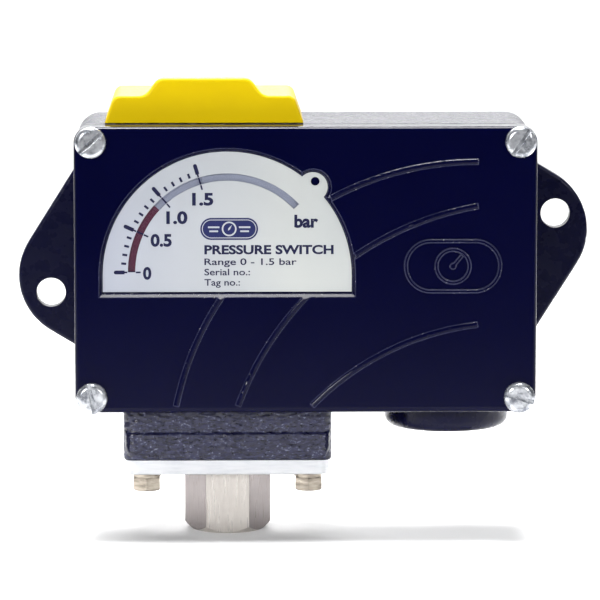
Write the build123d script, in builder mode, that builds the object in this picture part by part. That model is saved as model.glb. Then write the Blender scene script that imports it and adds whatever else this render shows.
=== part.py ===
from build123d import *
from math import asin, cos, degrees, pi, radians, sin, sqrt
import os

# Wall-mounted pressure switch, in millimetres.
# +X is right, +Z is up, and +Y points into the wall, so the front looks along -Y.
# The origin is midway between the two wall holes, on the wall face.
# "out" is a distance from the wall face towards the front, so y = -out.

# ---- Housing and cover ---------------------------------------------------------------------
BODY_W = 138.0
BODY_H = 86.0
HOUSING_D = 39.0
HOUSING_CORNER = 7.0
WALL = 3.5
GASKET_T = 1.0
GASKET_INSET = 0.5
COVER_D = 8.0
COVER_CORNER = 5.0
COVER_SKIN = 3.5
COVER_EDGE = 1.7

# ---- Wall ears -----------------------------------------------------------------------------
EAR_T = 5.0
EAR_EDGE = 0.9
EAR_R = 19.7
EAR_X = 67.7
EAR_Z = 7.0
EAR_TOP_Z = 28.0
EAR_LOW_Z = 29.2
WALL_HOLE_X = 77.5
WALL_HOLE_Z = 12.1
WALL_HOLE_D = 9.0

# ---- Cover screws --------------------------------------------------------------------------
COVER_SCREW_X = 63.9
COVER_SCREW_Z = 38.35
COVER_SCREW_D = 5.0
COVER_SCREW_L = 22.0
COVER_HEAD_D = 9.3
COVER_HEAD_T = 2.8
COVER_SLOT_W = 1.2
COVER_SLOT_DEPTH = 1.3
COVER_BOSS_R = 6.5
SLOT_ANGLES = {(-1, 1): 43, (1, 1): 56, (-1, -1): 100, (1, -1): -16}

# ---- Sensing axis: neck, flange plate, port and springs stand on it ------------------------
AXIS_X = -23.4
AXIS_OUT = 21.0

# ---- Neck and flange -----------------------------------------------------------------------
NECK_W = 62.2
NECK_D = 34.0
NECK_BOTTOM_Z = -59.0
NECK_CORNER = 2.6
BAND_H = 7.4
BAND_PROUD = 0.7
BAND_CORNER = 4.5
NECK_CHAMBER_R = 14.0
NECK_CHAMBER_H = 9.0
FLANGE_W = 61.4
FLANGE_T = 4.4
FLANGE_CORNER = 4.0
BOLT_X = 24.5
BOLT_OUT = 12.0
BOLT_D = 5.0
BOLT_L = 12.0
BOLT_AF = 8.0
BOLT_TURN = 30
BOLT_HEAD_T = 3.9
SPRING_WASHER_D = 8.1
SPRING_WASHER_T = 1.4
SPRING_WASHER_GAP = 0.8
SPRING_WASHER_ANGLE = 25
BOLT_CHAMFER = 0.7
FLANGE_CHAMFER = 0.3

# ---- Pressure port -------------------------------------------------------------------------
PORT_AF = 22.6
PORT_TURN = 0
PORT_L = 19.0
PORT_CHAMFER = 1.9
PORT_THREAD_D = 11.8
PORT_THREAD_L = 14.0
PORT_PASSAGE_D = 5.0
SPIGOT_D = 14.0
SEAL_R = 9.6
SEAL_W = 1.3
SEAL_T = 1.0

# ---- Diaphragm and push rod ----------------------------------------------------------------
DIAPHRAGM_D = 31.0
DIAPHRAGM_T = 1.2
PRESSURE_CHAMBER_D = 26.0
PRESSURE_CHAMBER_T = 1.2
SUPPORT_D = 22.0
SUPPORT_T = 3.0
SUPPORT_EDGE = 1.0
ROD_D = 6.0
ROD_TIP_R = 0.4
GUIDE_BUSH_D = 10.0
GUIDE_BUSH_FLANGE_D = 14.0
GUIDE_BUSH_FLANGE_T = 1.5

# ---- Cable entry ---------------------------------------------------------------------------
CABLE_X = 43.35
CABLE_OUT = 19.8
CABLE_BOSS_D = 37.6
CABLE_BOSS_H = 7.8
CABLE_BOSS_EDGE = 3.0
CABLE_THREAD_D = 18.5

# ---- Dial ----------------------------------------------------------------------------------
DIAL_Z = -0.6
PLATE_R = 37.1
PLATE_ARC_Z = -1.6
PLATE_LOW_Z = -6.5
PLATE_T = 0.4
PLATE_LOBE_R = 4.4
PLATE_LOBE_IN = 0.3
PLATE_LOBE_ANGLE = 46.1
PLATE_HOLE_D = 2.6
PLATE_HOLE_PAST_RIM = 1.4
PLATE_HOLE_ANGLE = 47.1
RECESS_DEPTH = 1.5
RECESS_GAP = 0.3
RECESS_LEDGE = 1.2
RECESS_CHAMFER = 0.8
DIAL_FLOOR = 0.9
DIAL_POCKET_GAP = 1.2
SLOT_FROM_RIM = 7.5
SLOT_W = 2.2
SLOT_START = 43.5
SLOT_END = 180.0
WINDOW_MARGIN_R = 3.0
WINDOW_MARGIN_DEG = 6.0
WINDOW_T = 0.8
DISC_PAST_SLOT = 1.9
DISC_T = 0.8
DISC_GAP = 0.3

# ---- Raised ribs and emblem of the cover ---------------------------------------------------
RIB_W = 1.7
RIB_PROUD = 0.5
RIB_END_X = 51.3
RIB_LOW_MARGIN = 2.2
RIBS = [(50.7, -58.7, 91.2), (67.1, -72.2, 92.8), (61.1, -98.4, 82.6)]
EMBLEM_X = 43.9
EMBLEM_Z = 1.2
EMBLEM_W = 29.0
EMBLEM_H = 16.0
EMBLEM_LINE = 0.9
EMBLEM_PROUD = 0.4
EMBLEM_CORNER = 7.9
EMBLEM_GAUGE_R = 5.4
EMBLEM_NEEDLE_L = 4.2
EMBLEM_NEEDLE_ANGLE = 50

# ---- Adjusting spindles, their nuts and springs --------------------------------------------
DIFF_X = -46.0
SPINDLE_D = 6.0
SPINDLE_HEAD_UP = 5.6
SPINDLE_LOW_Z = 0.0
SPINDLE_CHAMFER = 0.5
SPINDLE_SLOT_W = 1.2
SPINDLE_SLOT_DEPTH = 2.0
COLLAR_PROUD = 1.5
COLLAR_T = 1.5
BUSH_WALL = 2.0
BUSH_FLANGE_PROUD = 1.5
BUSH_FLANGE_T = 1.5
GROOVE_DEPTH = 0.5
CLIP_WALL = 2.0
CLIP_MOUTH_W = 3.0
CLIP_T = 0.8
NUT_T = 4.0
RANGE_NUT_Z = 14.0
RANGE_NUT_D = 20.0
RANGE_COIL_D = 18.0
RANGE_WIRE_D = 2.0
RANGE_TURNS = 6
DIFF_NUT_Z = 25.0
DIFF_THREAD_BELOW_NUT = 8.0
DIFF_NUT_D = 12.0
DIFF_COIL_D = 10.0
DIFF_WIRE_D = 1.2
DIFF_TURNS = 9
PILOT_T = 3.0
LUG_W = 7.0
GUIDE_ROD_D = 3.6
GUIDE_ROD_LOW_Z = 6.0
GUIDE_TENON_D = 2.6
GUIDE_TENON_L = 2.0

# ---- Rack and pinion of the indicator ------------------------------------------------------
MODULE = 1.0
PINION_TEETH = 10
BACKLASH = 0.35
TOOTH_TOP = 0.85
TOOTH_ROOT = 1.15
TOOTH_TIP_SHARE = 0.42
TOOTH_ROOT_SHARE = 1.3
PINION_TOOTH_SUNK = 0.5
RACK_TOOTH_SUNK = 0.2
RACK_TEETH = range(-3, 3)
PINION_OUT = 32.2
PINION_T = 3.6
RACK_BACK = 3.9
RACK_LOW_Z = -11.0
INDICATOR_SHAFT_D = 3.0
BRIDGE_OUT = 37.4
BRIDGE_T = 1.2
BRIDGE_H = 12.0
POST_X = 32.6
POST_D = 6.0
BRIDGE_END = 5.5
BRIDGE_CORNER = 3.0
POST_HOLE_L = 8.0
INDICATOR_BUSH_D = 7.0
INDICATOR_BUSH_FLANGE_D = 9.0
INDICATOR_BUSH_FRONT = 3.4
INDICATOR_BUSH_FLANGE_T = 1.0

# ---- Lever ---------------------------------------------------------------------------------
PIVOT_X = -57.5
PIVOT_Z = -27.0
LEVER_T = 3.0
LEVER_W = 16.0
LEVER_END_X = 8.0
KNUCKLE_R = 4.0
PIN_D = 4.0
PIN_OVERHANG = 1.0
PIN_CHAMFER = 0.3
BRACKET_T = 1.5
BRACKET_EAR_END_X = -52.5
BRACKET_LOW_Z = -31.5
BRACKET_TOP_Z = -19.0
BRACKET_FOOT_TOP_Z = -6.0
BRACKET_FOOT_END_X = -52.0
BRACKET_WEB_X = -63.5
BRACKET_EAR_GAP = 0.5
BRACKET_SCREW_TOP_MARGIN = 1.0
BRACKET_SCREW_LOW_MARGIN = 0.2

# ---- Microswitch ---------------------------------------------------------------------------
SWITCH_W = 28.0
SWITCH_H = 16.0
SWITCH_T = 10.4
SWITCH_CORNER = 1.0
SWITCH_TAP_DEPTH = 8.0
SWITCH_SCREW_ANGLE = 60
SWITCH_X = 10.0
SWITCH_LOW_Z = -22.5
SWITCH_HOLE_DX = 22.2
SWITCH_HOLE_DZ = 10.3
PLUNGER_D = 3.0
PLUNGER_X = 1.0
PLUNGER_IN = 4.0
PLUNGER_SPARE = 2.0
PLUNGER_TIP_R = 0.2
PILLAR_D = 7.0
TAB_XS = [-10.5, 5.5, 11.5]
TAB_W = 4.8
TAB_T = 0.8
TAB_H = 7.0
TAB_IN = 1.0

# ---- Terminal block and earth screw --------------------------------------------------------
BLOCK_X = 41.0
BLOCK_Z = 16.0
BLOCK_H = 16.0
BLOCK_T = 14.0
POLE_PITCH = 11.0
POLES = 3
BLOCK_END = 0.5
CORE_HOLE_D = 4.2
CORE_HOLE_DEPTH = 7.0
LEAD_HOLE_D = 2.6
LEAD_HOLE_DEPTH = 4.0
TERMINAL_OUT = 8.0
TERMINAL_SCREW_D = 4.6
TERMINAL_SCREW_L = 3.5
TERMINAL_SCREW_SUNK = 1.0
BLOCK_RIM = 3.0
EARTH_X = 57.5
EARTH_Z = -10.0
EARTH_BOSS_D = 11.0
EARTH_BOSS_H = 4.0
EARTH_TAP_DEPTH = 5.0
EARTH_SCREW_ANGLE = 15
LEAD_D = 2.0
LEAD_BEND = 4.5
LEAD_LEVELS = [36.0, 32.4, 28.8]
LEAD_IN = 2.5

# ---- Small screws --------------------------------------------------------------------------
M3_D = 3.0
M3_HEAD_D = 5.6
M3_HEAD_T = 2.0
M4_D = 4.0
M4_HEAD_D = 8.0
M4_HEAD_T = 2.8
SMALL_SLOT_W = 0.8
SMALL_SLOT_DEPTH = 1.0
SMALL_SCREW_ANGLE = 30
HEAD_ROUNDING = 0.55
TAP_FLOOR = 0.8
TAP_SPARE = 1.0

# ---- Adjuster cap --------------------------------------------------------------------------
CAP_X = -30.2
CAP_W = 59.4
CAP_TOP_W = 53.6
CAP_H = 8.1
CAP_BACK_OUT = 2.0
CAP_FRONT_GAP = 0.4
CAP_WALL = 2.2
CAP_CORNER = 2.6
CAP_EDGE = 0.8
HUMP_TOP_W = 23.2
HUMP_FOOT_W = 39.0
HUMP_H = 5.2
HUMP_T = 4.5
HUMP_ROOT = 1.0
LIP_W = 1.8
LIP_H = 2.4

# ---- Clearances, and how far a cutting shape runs past the surface --------------------------
SEAT = 0.3
RUN = 0.05
FIT = 0.02
BOLT_GAP = 0.25
OVERRUN = 1.0
CHAMFER_RATIO = 1.02

# ---- Derived places ------------------------------------------------------------------------
HALF_W = BODY_W / 2
HALF_H = BODY_H / 2
COVER_OUT = HOUSING_D + GASKET_T
FRONT_OUT = COVER_OUT + COVER_D
ROOF_IN_Z = HALF_H - WALL
FLOOR_IN_Z = -HALF_H + WALL
AXIS_Y = -AXIS_OUT
FLANGE_LOW_Z = NECK_BOTTOM_Z - FLANGE_T
PORT_LOW_Z = FLANGE_LOW_Z - PORT_L
LEVER_TOP_Z = PIVOT_Z + LEVER_T / 2
LEVER_LOW_Z = PIVOT_Z - LEVER_T / 2
PITCH_R = MODULE * PINION_TEETH / 2
TOOTH_PITCH = pi * MODULE
PLATE_OUT = FRONT_OUT - RECESS_DEPTH
SLOT_R_OUT = PLATE_R - SLOT_FROM_RIM
SLOT_R_IN = SLOT_R_OUT - SLOT_W
DISC_R = SLOT_R_OUT + DISC_PAST_SLOT
DISC_OUT = PLATE_OUT - DIAL_FLOOR - DISC_GAP - DISC_T
GUIDE_ROD_X = (AXIS_X + DIFF_X) / 2
CAP_FRONT_OUT = HOUSING_D - CAP_FRONT_GAP
CAP_LOW_Z = HALF_H + SEAT
CAP_TOP_Z = CAP_LOW_Z + CAP_H
CAP_SLOPE = (CAP_W - CAP_TOP_W) / 2 / CAP_H
LIP_HALF_W = CAP_W / 2 - CAP_WALL - CAP_SLOPE * LIP_H - SEAT
LIP_HALF_D = (CAP_FRONT_OUT - CAP_BACK_OUT) / 2 - CAP_WALL - SEAT
BUSH_TOP_Z = HALF_H + BUSH_FLANGE_T
SPINDLE_TOP_Z = HALF_H + SPINDLE_HEAD_UP
BOLT_HEAD_Z = FLANGE_LOW_Z - SPRING_WASHER_T
SWITCH_OUT = AXIS_OUT - SWITCH_T / 2
NUT_RUN_R = SPINDLE_D / 2 + RUN
COLLAR_D = SPINDLE_D + 2 * COLLAR_PROUD
BUSH_D = SPINDLE_D + 2 * BUSH_WALL
BUSH_FLANGE_D = BUSH_D + 2 * BUSH_FLANGE_PROUD
GROOVE_D = SPINDLE_D - 2 * GROOVE_DEPTH
CLIP_D = GROOVE_D + 2 * CLIP_WALL
TOOTH_HALF = TOOTH_PITCH / 4 - BACKLASH / 2
TIP_HALF = TOOTH_HALF * TOOTH_TIP_SHARE
ROOT_HALF = TOOTH_HALF * TOOTH_ROOT_SHARE
RACK_X = AXIS_X + PITCH_R
CLIP_Z = BUSH_TOP_Z + SEAT
COLLAR_TOP_Z = ROOF_IN_Z - SEAT
M3_TAP_DEPTH = WALL - TAP_FLOOR
POST_STUD_L = M3_TAP_DEPTH - SEAT
SUPPORT_LOW_Z = NECK_BOTTOM_Z + SEAT
ROD_LOW_Z = SUPPORT_LOW_Z + SUPPORT_T
ROD_TOP_Z = LEVER_LOW_Z - SEAT
SWITCH_TOP_Z = SWITCH_LOW_Z + SWITCH_H
TERMINAL_Y = -(WALL + TERMINAL_OUT)

os.makedirs("parts", exist_ok=True)


def front(out):
    """Sketch plane parallel to the wall, with X to the right and Z up, facing the front."""
    return Plane.XZ.offset(out)


def level(z):
    """Horizontal sketch plane at a height."""
    return Plane.XY.offset(z)


def save(piece, name):
    """Label a finished piece and write its STEP file."""
    piece.label = name
    export_step(piece, f"parts/{name}.step")


def on_ring(centre_x, centre_z, radius, angle):
    """Point at an angle on a circle of the front plane."""
    return (centre_x + radius * cos(radians(angle)), centre_z + radius * sin(radians(angle)))


def screw_shape(diameter, length, head_d, head_t, slot_w, slot_depth, slot_angle):
    """Slotted pan-head screw along +Z, with its head's seat at z = 0 and its shank below."""
    with BuildPart() as screw:
        with BuildSketch():
            Circle(head_d / 2)
        extrude(amount=head_t)
        fillet(screw.edges().group_by(Axis.Z)[-1], head_t * HEAD_ROUNDING)
        with BuildSketch(level(head_t - slot_depth)):
            Rectangle(head_d + OVERRUN, slot_w, rotation=slot_angle)
        extrude(amount=slot_depth + OVERRUN, mode=Mode.SUBTRACT)
        with BuildSketch():
            Circle(diameter / 2)
        extrude(amount=-length)
    return screw.part


def facing_front(shape, x, z, out):
    """Copy of a +Z shape turned to look at the front and moved to its place."""
    return Plane(origin=(x, -out, z), x_dir=(1, 0, 0), z_dir=(0, -1, 0)) * shape


def plate_outline(grow, ledge=0):
    """Outline of the dial plate in the open sketch, grown all round and by a ledge below."""
    low = PLATE_LOW_Z - grow - ledge
    with Locations((AXIS_X, PLATE_ARC_Z)):
        Circle(PLATE_R + grow)
    with Locations((AXIS_X, PLATE_ARC_Z)):
        Rectangle(
            2 * (PLATE_R + grow + OVERRUN),
            PLATE_R + grow + OVERRUN,
            align=(Align.CENTER, Align.MAX),
            mode=Mode.SUBTRACT,
        )
    with Locations((AXIS_X, low)):
        Rectangle(2 * (PLATE_R + grow), PLATE_ARC_Z - low, align=(Align.CENTER, Align.MIN))
    with Locations(on_ring(AXIS_X, PLATE_ARC_Z, PLATE_R - PLATE_LOBE_IN, PLATE_LOBE_ANGLE)):
        Circle(PLATE_LOBE_R + grow)


def ring_sector(radius_in, radius_out, start, end):
    """Flat band between two arcs about the dial's centre."""
    middle = (start + end) / 2
    with BuildSketch() as band:
        with BuildLine():
            outer = ThreePointArc(
                on_ring(AXIS_X, DIAL_Z, radius_out, start),
                on_ring(AXIS_X, DIAL_Z, radius_out, middle),
                on_ring(AXIS_X, DIAL_Z, radius_out, end),
            )
            inner = ThreePointArc(
                on_ring(AXIS_X, DIAL_Z, radius_in, start),
                on_ring(AXIS_X, DIAL_Z, radius_in, middle),
                on_ring(AXIS_X, DIAL_Z, radius_in, end),
            )
            Line(outer @ 0, inner @ 0)
            Line(outer @ 1, inner @ 1)
        make_face()
    return band.sketch


def window_band(grow):
    """Band of the clear pane behind the slot, grown all round by an amount."""
    grow_angle = degrees(grow / SLOT_R_OUT)
    return ring_sector(
        SLOT_R_IN - WINDOW_MARGIN_R - grow,
        SLOT_R_OUT + WINDOW_MARGIN_R + grow,
        SLOT_START - WINDOW_MARGIN_DEG - grow_angle,
        SLOT_END + WINDOW_MARGIN_DEG + grow_angle,
    )


def corner_places():
    """The four cover-screw places."""
    return [(sx * COVER_SCREW_X, sz * COVER_SCREW_Z) for sx, sz in SLOT_ANGLES]


def inside_outline():
    """Outline of the hollow, round the four corner pillars."""
    with BuildSketch() as hollow:
        RectangleRounded(BODY_W - 2 * WALL, BODY_H - 2 * WALL, HOUSING_CORNER - WALL)
        with Locations(*corner_places()):
            Circle(COVER_BOSS_R, mode=Mode.SUBTRACT)
    return hollow.sketch


# ---- Housing -------------------------------------------------------------------------------
switch_holes = [
    (SWITCH_X - SWITCH_HOLE_DX / 2, SWITCH_LOW_Z + SWITCH_H / 2 + SWITCH_HOLE_DZ / 2),
    (SWITCH_X + SWITCH_HOLE_DX / 2, SWITCH_LOW_Z + SWITCH_H / 2 - SWITCH_HOLE_DZ / 2),
]
post_places = [(AXIS_X - POST_X, DIAL_Z), (AXIS_X + POST_X, DIAL_Z)]
bracket_screw_x = (BRACKET_WEB_X + BRACKET_FOOT_END_X) / 2
bracket_screw_places = [
    (bracket_screw_x, BRACKET_FOOT_TOP_Z - M3_HEAD_D / 2 - BRACKET_SCREW_TOP_MARGIN),
    (bracket_screw_x, BRACKET_TOP_Z + M3_HEAD_D / 2 + BRACKET_SCREW_LOW_MARGIN),
]
block_screw_places = [(BLOCK_X + side * POLE_PITCH / 2, BLOCK_Z) for side in (-1, 1)]
spindle_places = [(AXIS_X, AXIS_Y), (DIFF_X, AXIS_Y)]
bolt_places = [(AXIS_X + sx * BOLT_X, AXIS_Y + sy * BOLT_OUT) for sx in (-1, 1) for sy in (-1, 1)]

with BuildPart() as housing:
    with BuildSketch(front(0)):
        RectangleRounded(BODY_W, BODY_H, HOUSING_CORNER)
    extrude(amount=HOUSING_D)
    # Two ears, one the other turned by half a turn, each tangent to the side wall's ends.
    for side in (-1, 1):
        with BuildSketch(front(0)):
            with Locations((side * EAR_X, side * EAR_Z)):
                Circle(EAR_R)
            with BuildLine():
                Polyline(
                    (side * HALF_W, side * -EAR_TOP_Z),
                    (side * (HALF_W - HOUSING_CORNER), side * -EAR_TOP_Z),
                    (side * (HALF_W - HOUSING_CORNER), side * EAR_LOW_Z),
                    (side * HALF_W, side * EAR_LOW_Z),
                    close=True,
                )
            make_face()
            make_hull()
        extrude(amount=EAR_T)
        flat_faces = housing.faces().filter_by(Axis.Y)
        ear_front = flat_faces.filter_by(lambda face: abs(face.center().Y + EAR_T) < FIT)
        fillet(ear_front.edges().filter_by(lambda edge: abs(edge.center().X) > HALF_W + FIT), EAR_EDGE)
    # Neck under the sensing axis, with a raised band at its foot.
    with BuildSketch(level(-HALF_H + WALL / 2)):
        with Locations((AXIS_X, AXIS_Y)):
            RectangleRounded(NECK_W, NECK_D, NECK_CORNER)
    extrude(amount=NECK_BOTTOM_Z + HALF_H - WALL / 2)
    with BuildSketch(front(AXIS_OUT - NECK_D / 2)) as band:
        with Locations((AXIS_X, NECK_BOTTOM_Z + BAND_PROUD)):
            Rectangle(NECK_W - 2 * BAND_PROUD, BAND_H, align=(Align.CENTER, Align.MIN))
        fillet(band.vertices().group_by(Axis.Y)[0], BAND_CORNER)
    extrude(amount=NECK_D + BAND_PROUD)
    # Cable-entry boss.
    with BuildSketch(level(-HALF_H - CABLE_BOSS_H)):
        with Locations((CABLE_X, -CABLE_OUT)):
            Circle(CABLE_BOSS_D / 2)
    extrude(amount=CABLE_BOSS_H + WALL / 2)
    boss_edges = housing.edges().filter_by(lambda edge: edge.geom_type == GeomType.CIRCLE)
    boss_edges = boss_edges.filter_by(lambda edge: abs(edge.radius - CABLE_BOSS_D / 2) < FIT)
    fillet(boss_edges.sort_by(Axis.Z)[0], CABLE_BOSS_EDGE)
    # Inside, open to the front, with a pillar for a cover screw in each corner.
    with BuildSketch(front(WALL)):
        add(inside_outline())
    extrude(amount=HOUSING_D, mode=Mode.SUBTRACT)
    # Lip on the roof that locates the adjuster cap.
    with BuildSketch(level(HALF_H)):
        with Locations((CAP_X, -(CAP_FRONT_OUT + CAP_BACK_OUT) / 2)):
            Rectangle(2 * LIP_HALF_W, 2 * LIP_HALF_D)
            Rectangle(2 * (LIP_HALF_W - LIP_W), 2 * (LIP_HALF_D - LIP_W), mode=Mode.SUBTRACT)
    extrude(amount=LIP_H)
    # Cast pillars for the switch and the earth screw.
    with BuildSketch(front(WALL)):
        with Locations(*switch_holes):
            Circle(PILLAR_D / 2)
    extrude(amount=SWITCH_OUT - WALL)
    with BuildSketch(front(WALL)):
        with Locations((EARTH_X, EARTH_Z)):
            Circle(EARTH_BOSS_D / 2)
    extrude(amount=EARTH_BOSS_H)
    # Wall holes.
    with BuildSketch(front(0)):
        with Locations((-WALL_HOLE_X, -WALL_HOLE_Z), (WALL_HOLE_X, WALL_HOLE_Z)):
            Circle(WALL_HOLE_D / 2)
    extrude(amount=EAR_T, mode=Mode.SUBTRACT)
    # Tapped holes for the cover screws, the switch, the lever bracket, the block and the earth.
    with BuildSketch(front(HOUSING_D)):
        with Locations(*corner_places()):
            Circle(COVER_SCREW_D / 2 + FIT)
    extrude(amount=-(COVER_SCREW_L - COVER_D - GASKET_T + TAP_SPARE), mode=Mode.SUBTRACT)
    with BuildSketch(front(SWITCH_OUT)):
        with Locations(*switch_holes):
            Circle(M3_D / 2 + FIT)
    extrude(amount=-SWITCH_TAP_DEPTH, mode=Mode.SUBTRACT)
    with BuildSketch(front(WALL)):
        with Locations(*bracket_screw_places, *block_screw_places, *post_places):
            Circle(M3_D / 2 + FIT)
    extrude(amount=-M3_TAP_DEPTH, mode=Mode.SUBTRACT)
    with BuildSketch(front(WALL + EARTH_BOSS_H)):
        with Locations((EARTH_X, EARTH_Z)):
            Circle(M4_D / 2 + FIT)
    extrude(amount=-EARTH_TAP_DEPTH, mode=Mode.SUBTRACT)
    # Roof holes for the spindle bushes and the guide rod.
    with BuildSketch(level(ROOF_IN_Z)):
        with Locations(*spindle_places):
            Circle(BUSH_D / 2 + FIT)
    extrude(amount=WALL, mode=Mode.SUBTRACT)
    with BuildSketch(level(ROOF_IN_Z)):
        with Locations((GUIDE_ROD_X, AXIS_Y)):
            Circle(GUIDE_TENON_D / 2 + FIT)
    extrude(amount=GUIDE_TENON_L + SEAT, mode=Mode.SUBTRACT)
    # Neck: chamber over the diaphragm, guide-bush bore and flange-bolt threads.
    with BuildSketch(level(NECK_BOTTOM_Z)):
        with Locations((AXIS_X, AXIS_Y)):
            Circle(NECK_CHAMBER_R)
    extrude(amount=NECK_CHAMBER_H, mode=Mode.SUBTRACT)
    with BuildSketch(level(NECK_BOTTOM_Z)):
        with Locations((AXIS_X, AXIS_Y)):
            Circle(GUIDE_BUSH_D / 2 + FIT)
    extrude(amount=FLOOR_IN_Z - NECK_BOTTOM_Z, mode=Mode.SUBTRACT)
    with BuildSketch(level(NECK_BOTTOM_Z)):
        with Locations(*bolt_places):
            Circle(BOLT_D / 2 + FIT)
    extrude(amount=BOLT_L, mode=Mode.SUBTRACT)
    # Threaded cable entry, through the boss and the floor.
    with BuildSketch(level(-HALF_H - CABLE_BOSS_H)):
        with Locations((CABLE_X, -CABLE_OUT)):
            Circle(CABLE_THREAD_D / 2)
    extrude(amount=CABLE_BOSS_H + WALL, mode=Mode.SUBTRACT)
save(housing.part, "housing")

# ---- Cover gasket --------------------------------------------------------------------------
with BuildPart() as cover_gasket:
    with BuildSketch(front(HOUSING_D)):
        RectangleRounded(BODY_W - 2 * GASKET_INSET, BODY_H - 2 * GASKET_INSET, COVER_CORNER)
        add(inside_outline(), mode=Mode.SUBTRACT)
        with Locations(*corner_places()):
            Circle(COVER_SCREW_D / 2 + BOLT_GAP, mode=Mode.SUBTRACT)
    extrude(amount=GASKET_T)
save(cover_gasket.part, "cover_gasket")

# ---- Front cover ---------------------------------------------------------------------------
with BuildPart() as front_cover:
    with BuildSketch(front(COVER_OUT)):
        RectangleRounded(BODY_W, BODY_H, COVER_CORNER)
    extrude(amount=COVER_D)
    fillet(front_cover.faces().sort_by(Axis.Y)[0].edges(), COVER_EDGE)
    with BuildSketch(front(COVER_OUT)):
        add(inside_outline())
    extrude(amount=COVER_D - COVER_SKIN, mode=Mode.SUBTRACT)
    # Raised ribs: arcs that run up from the lower edge and end at one upright line.
    for rib_x, rib_z, rib_r in RIBS:
        low_z = -HALF_H + RIB_LOW_MARGIN
        start_angle = 180 - degrees(asin((low_z - rib_z) / rib_r))
        end_angle = degrees(asin(sqrt(rib_r**2 - (RIB_END_X - rib_x) ** 2) / rib_r))
        if RIB_END_X < rib_x:
            end_angle = 180 - end_angle
        section_r = (RIB_W**2 / 4 + RIB_PROUD**2) / (2 * RIB_PROUD)
        start_x, start_z = on_ring(rib_x, rib_z, rib_r, start_angle)
        outwards = (cos(radians(start_angle)), 0, sin(radians(start_angle)))
        section_plane = Plane(
            origin=(start_x, section_r - RIB_PROUD - FRONT_OUT, start_z),
            x_dir=outwards,
            z_dir=(-outwards[2], 0, outwards[0]),
        )
        with BuildSketch(section_plane):
            Circle(section_r)
        revolve(axis=Axis((rib_x, 0, rib_z), (0, 1, 0)), revolution_arc=start_angle - end_angle)
    # Dial recess, with the window cut through its floor.
    with BuildSketch(front(PLATE_OUT)):
        plate_outline(RECESS_GAP, RECESS_LEDGE - RECESS_CHAMFER)
    extrude(amount=RECESS_DEPTH + RIB_PROUD + OVERRUN, mode=Mode.SUBTRACT)
    with BuildSketch(front(FRONT_OUT - RECESS_CHAMFER)):
        plate_outline(RECESS_GAP, RECESS_LEDGE - RECESS_CHAMFER)
    extrude(amount=RECESS_CHAMFER + RIB_PROUD, taper=-45, mode=Mode.SUBTRACT)
    # Pocket behind the dial in which the disc turns.
    with BuildSketch(front(COVER_OUT)):
        with Locations((AXIS_X, DIAL_Z)):
            Circle(DISC_R + DIAL_POCKET_GAP)
    extrude(amount=PLATE_OUT - DIAL_FLOOR - COVER_OUT, mode=Mode.SUBTRACT)
    with BuildSketch(front(COVER_OUT)):
        add(window_band(FIT))
    extrude(amount=COVER_D - RECESS_DEPTH, mode=Mode.SUBTRACT)
    # Raised emblem: a plain gauge in a rounded frame.
    with BuildSketch(front(FRONT_OUT)):
        with Locations((EMBLEM_X, EMBLEM_Z)):
            RectangleRounded(EMBLEM_W, EMBLEM_H, EMBLEM_CORNER)
            RectangleRounded(
                EMBLEM_W - 2 * EMBLEM_LINE,
                EMBLEM_H - 2 * EMBLEM_LINE,
                EMBLEM_CORNER - EMBLEM_LINE,
                mode=Mode.SUBTRACT,
            )
        with Locations((EMBLEM_X, EMBLEM_Z)):
            Circle(EMBLEM_GAUGE_R)
            Circle(EMBLEM_GAUGE_R - EMBLEM_LINE, mode=Mode.SUBTRACT)
        with Locations((EMBLEM_X, EMBLEM_Z)):
            Circle(EMBLEM_LINE)
            Rectangle(
                EMBLEM_NEEDLE_L,
                EMBLEM_LINE,
                rotation=EMBLEM_NEEDLE_ANGLE,
                align=(Align.MIN, Align.CENTER),
            )
    extrude(amount=EMBLEM_PROUD)
    # Screw holes.
    with BuildSketch(front(COVER_OUT)):
        with Locations(*corner_places()):
            Circle(COVER_SCREW_D / 2 + BOLT_GAP)
    extrude(amount=COVER_D, mode=Mode.SUBTRACT)
save(front_cover.part, "front_cover")

# ---- Cover screws --------------------------------------------------------------------------
cover_screws = []
for (side_x, side_z), slot_angle in SLOT_ANGLES.items():
    screw = screw_shape(
        COVER_SCREW_D,
        COVER_SCREW_L,
        COVER_HEAD_D,
        COVER_HEAD_T,
        COVER_SLOT_W,
        COVER_SLOT_DEPTH,
        slot_angle,
    )
    cover_screws.append(facing_front(screw, side_x * COVER_SCREW_X, side_z * COVER_SCREW_Z, FRONT_OUT))
save(Compound(children=cover_screws), "cover_screws")

# ---- Scale plate and the clear pane behind its slot ----------------------------------------
with BuildPart() as scale_plate:
    with BuildSketch(front(PLATE_OUT)):
        plate_outline(0)
        with Locations(on_ring(AXIS_X, PLATE_ARC_Z, PLATE_R + PLATE_HOLE_PAST_RIM, PLATE_HOLE_ANGLE)):
            Circle(PLATE_HOLE_D / 2, mode=Mode.SUBTRACT)
        add(ring_sector(SLOT_R_IN, SLOT_R_OUT, SLOT_START, SLOT_END), mode=Mode.SUBTRACT)
    extrude(amount=PLATE_T)
save(scale_plate.part, "scale_plate")

with BuildPart() as slot_window:
    with BuildSketch(front(PLATE_OUT)):
        add(window_band(0))
    extrude(amount=-WINDOW_T)
save(slot_window.part, "slot_window")

# ---- Indicator: disc, shaft and pinion -----------------------------------------------------
with BuildPart() as indicator_disc:
    with BuildSketch(front(DISC_OUT)):
        with Locations((AXIS_X, DIAL_Z)):
            Circle(DISC_R)
            Circle(INDICATOR_SHAFT_D / 2 + FIT, mode=Mode.SUBTRACT)
    extrude(amount=DISC_T)
save(indicator_disc.part, "indicator_disc")

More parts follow.
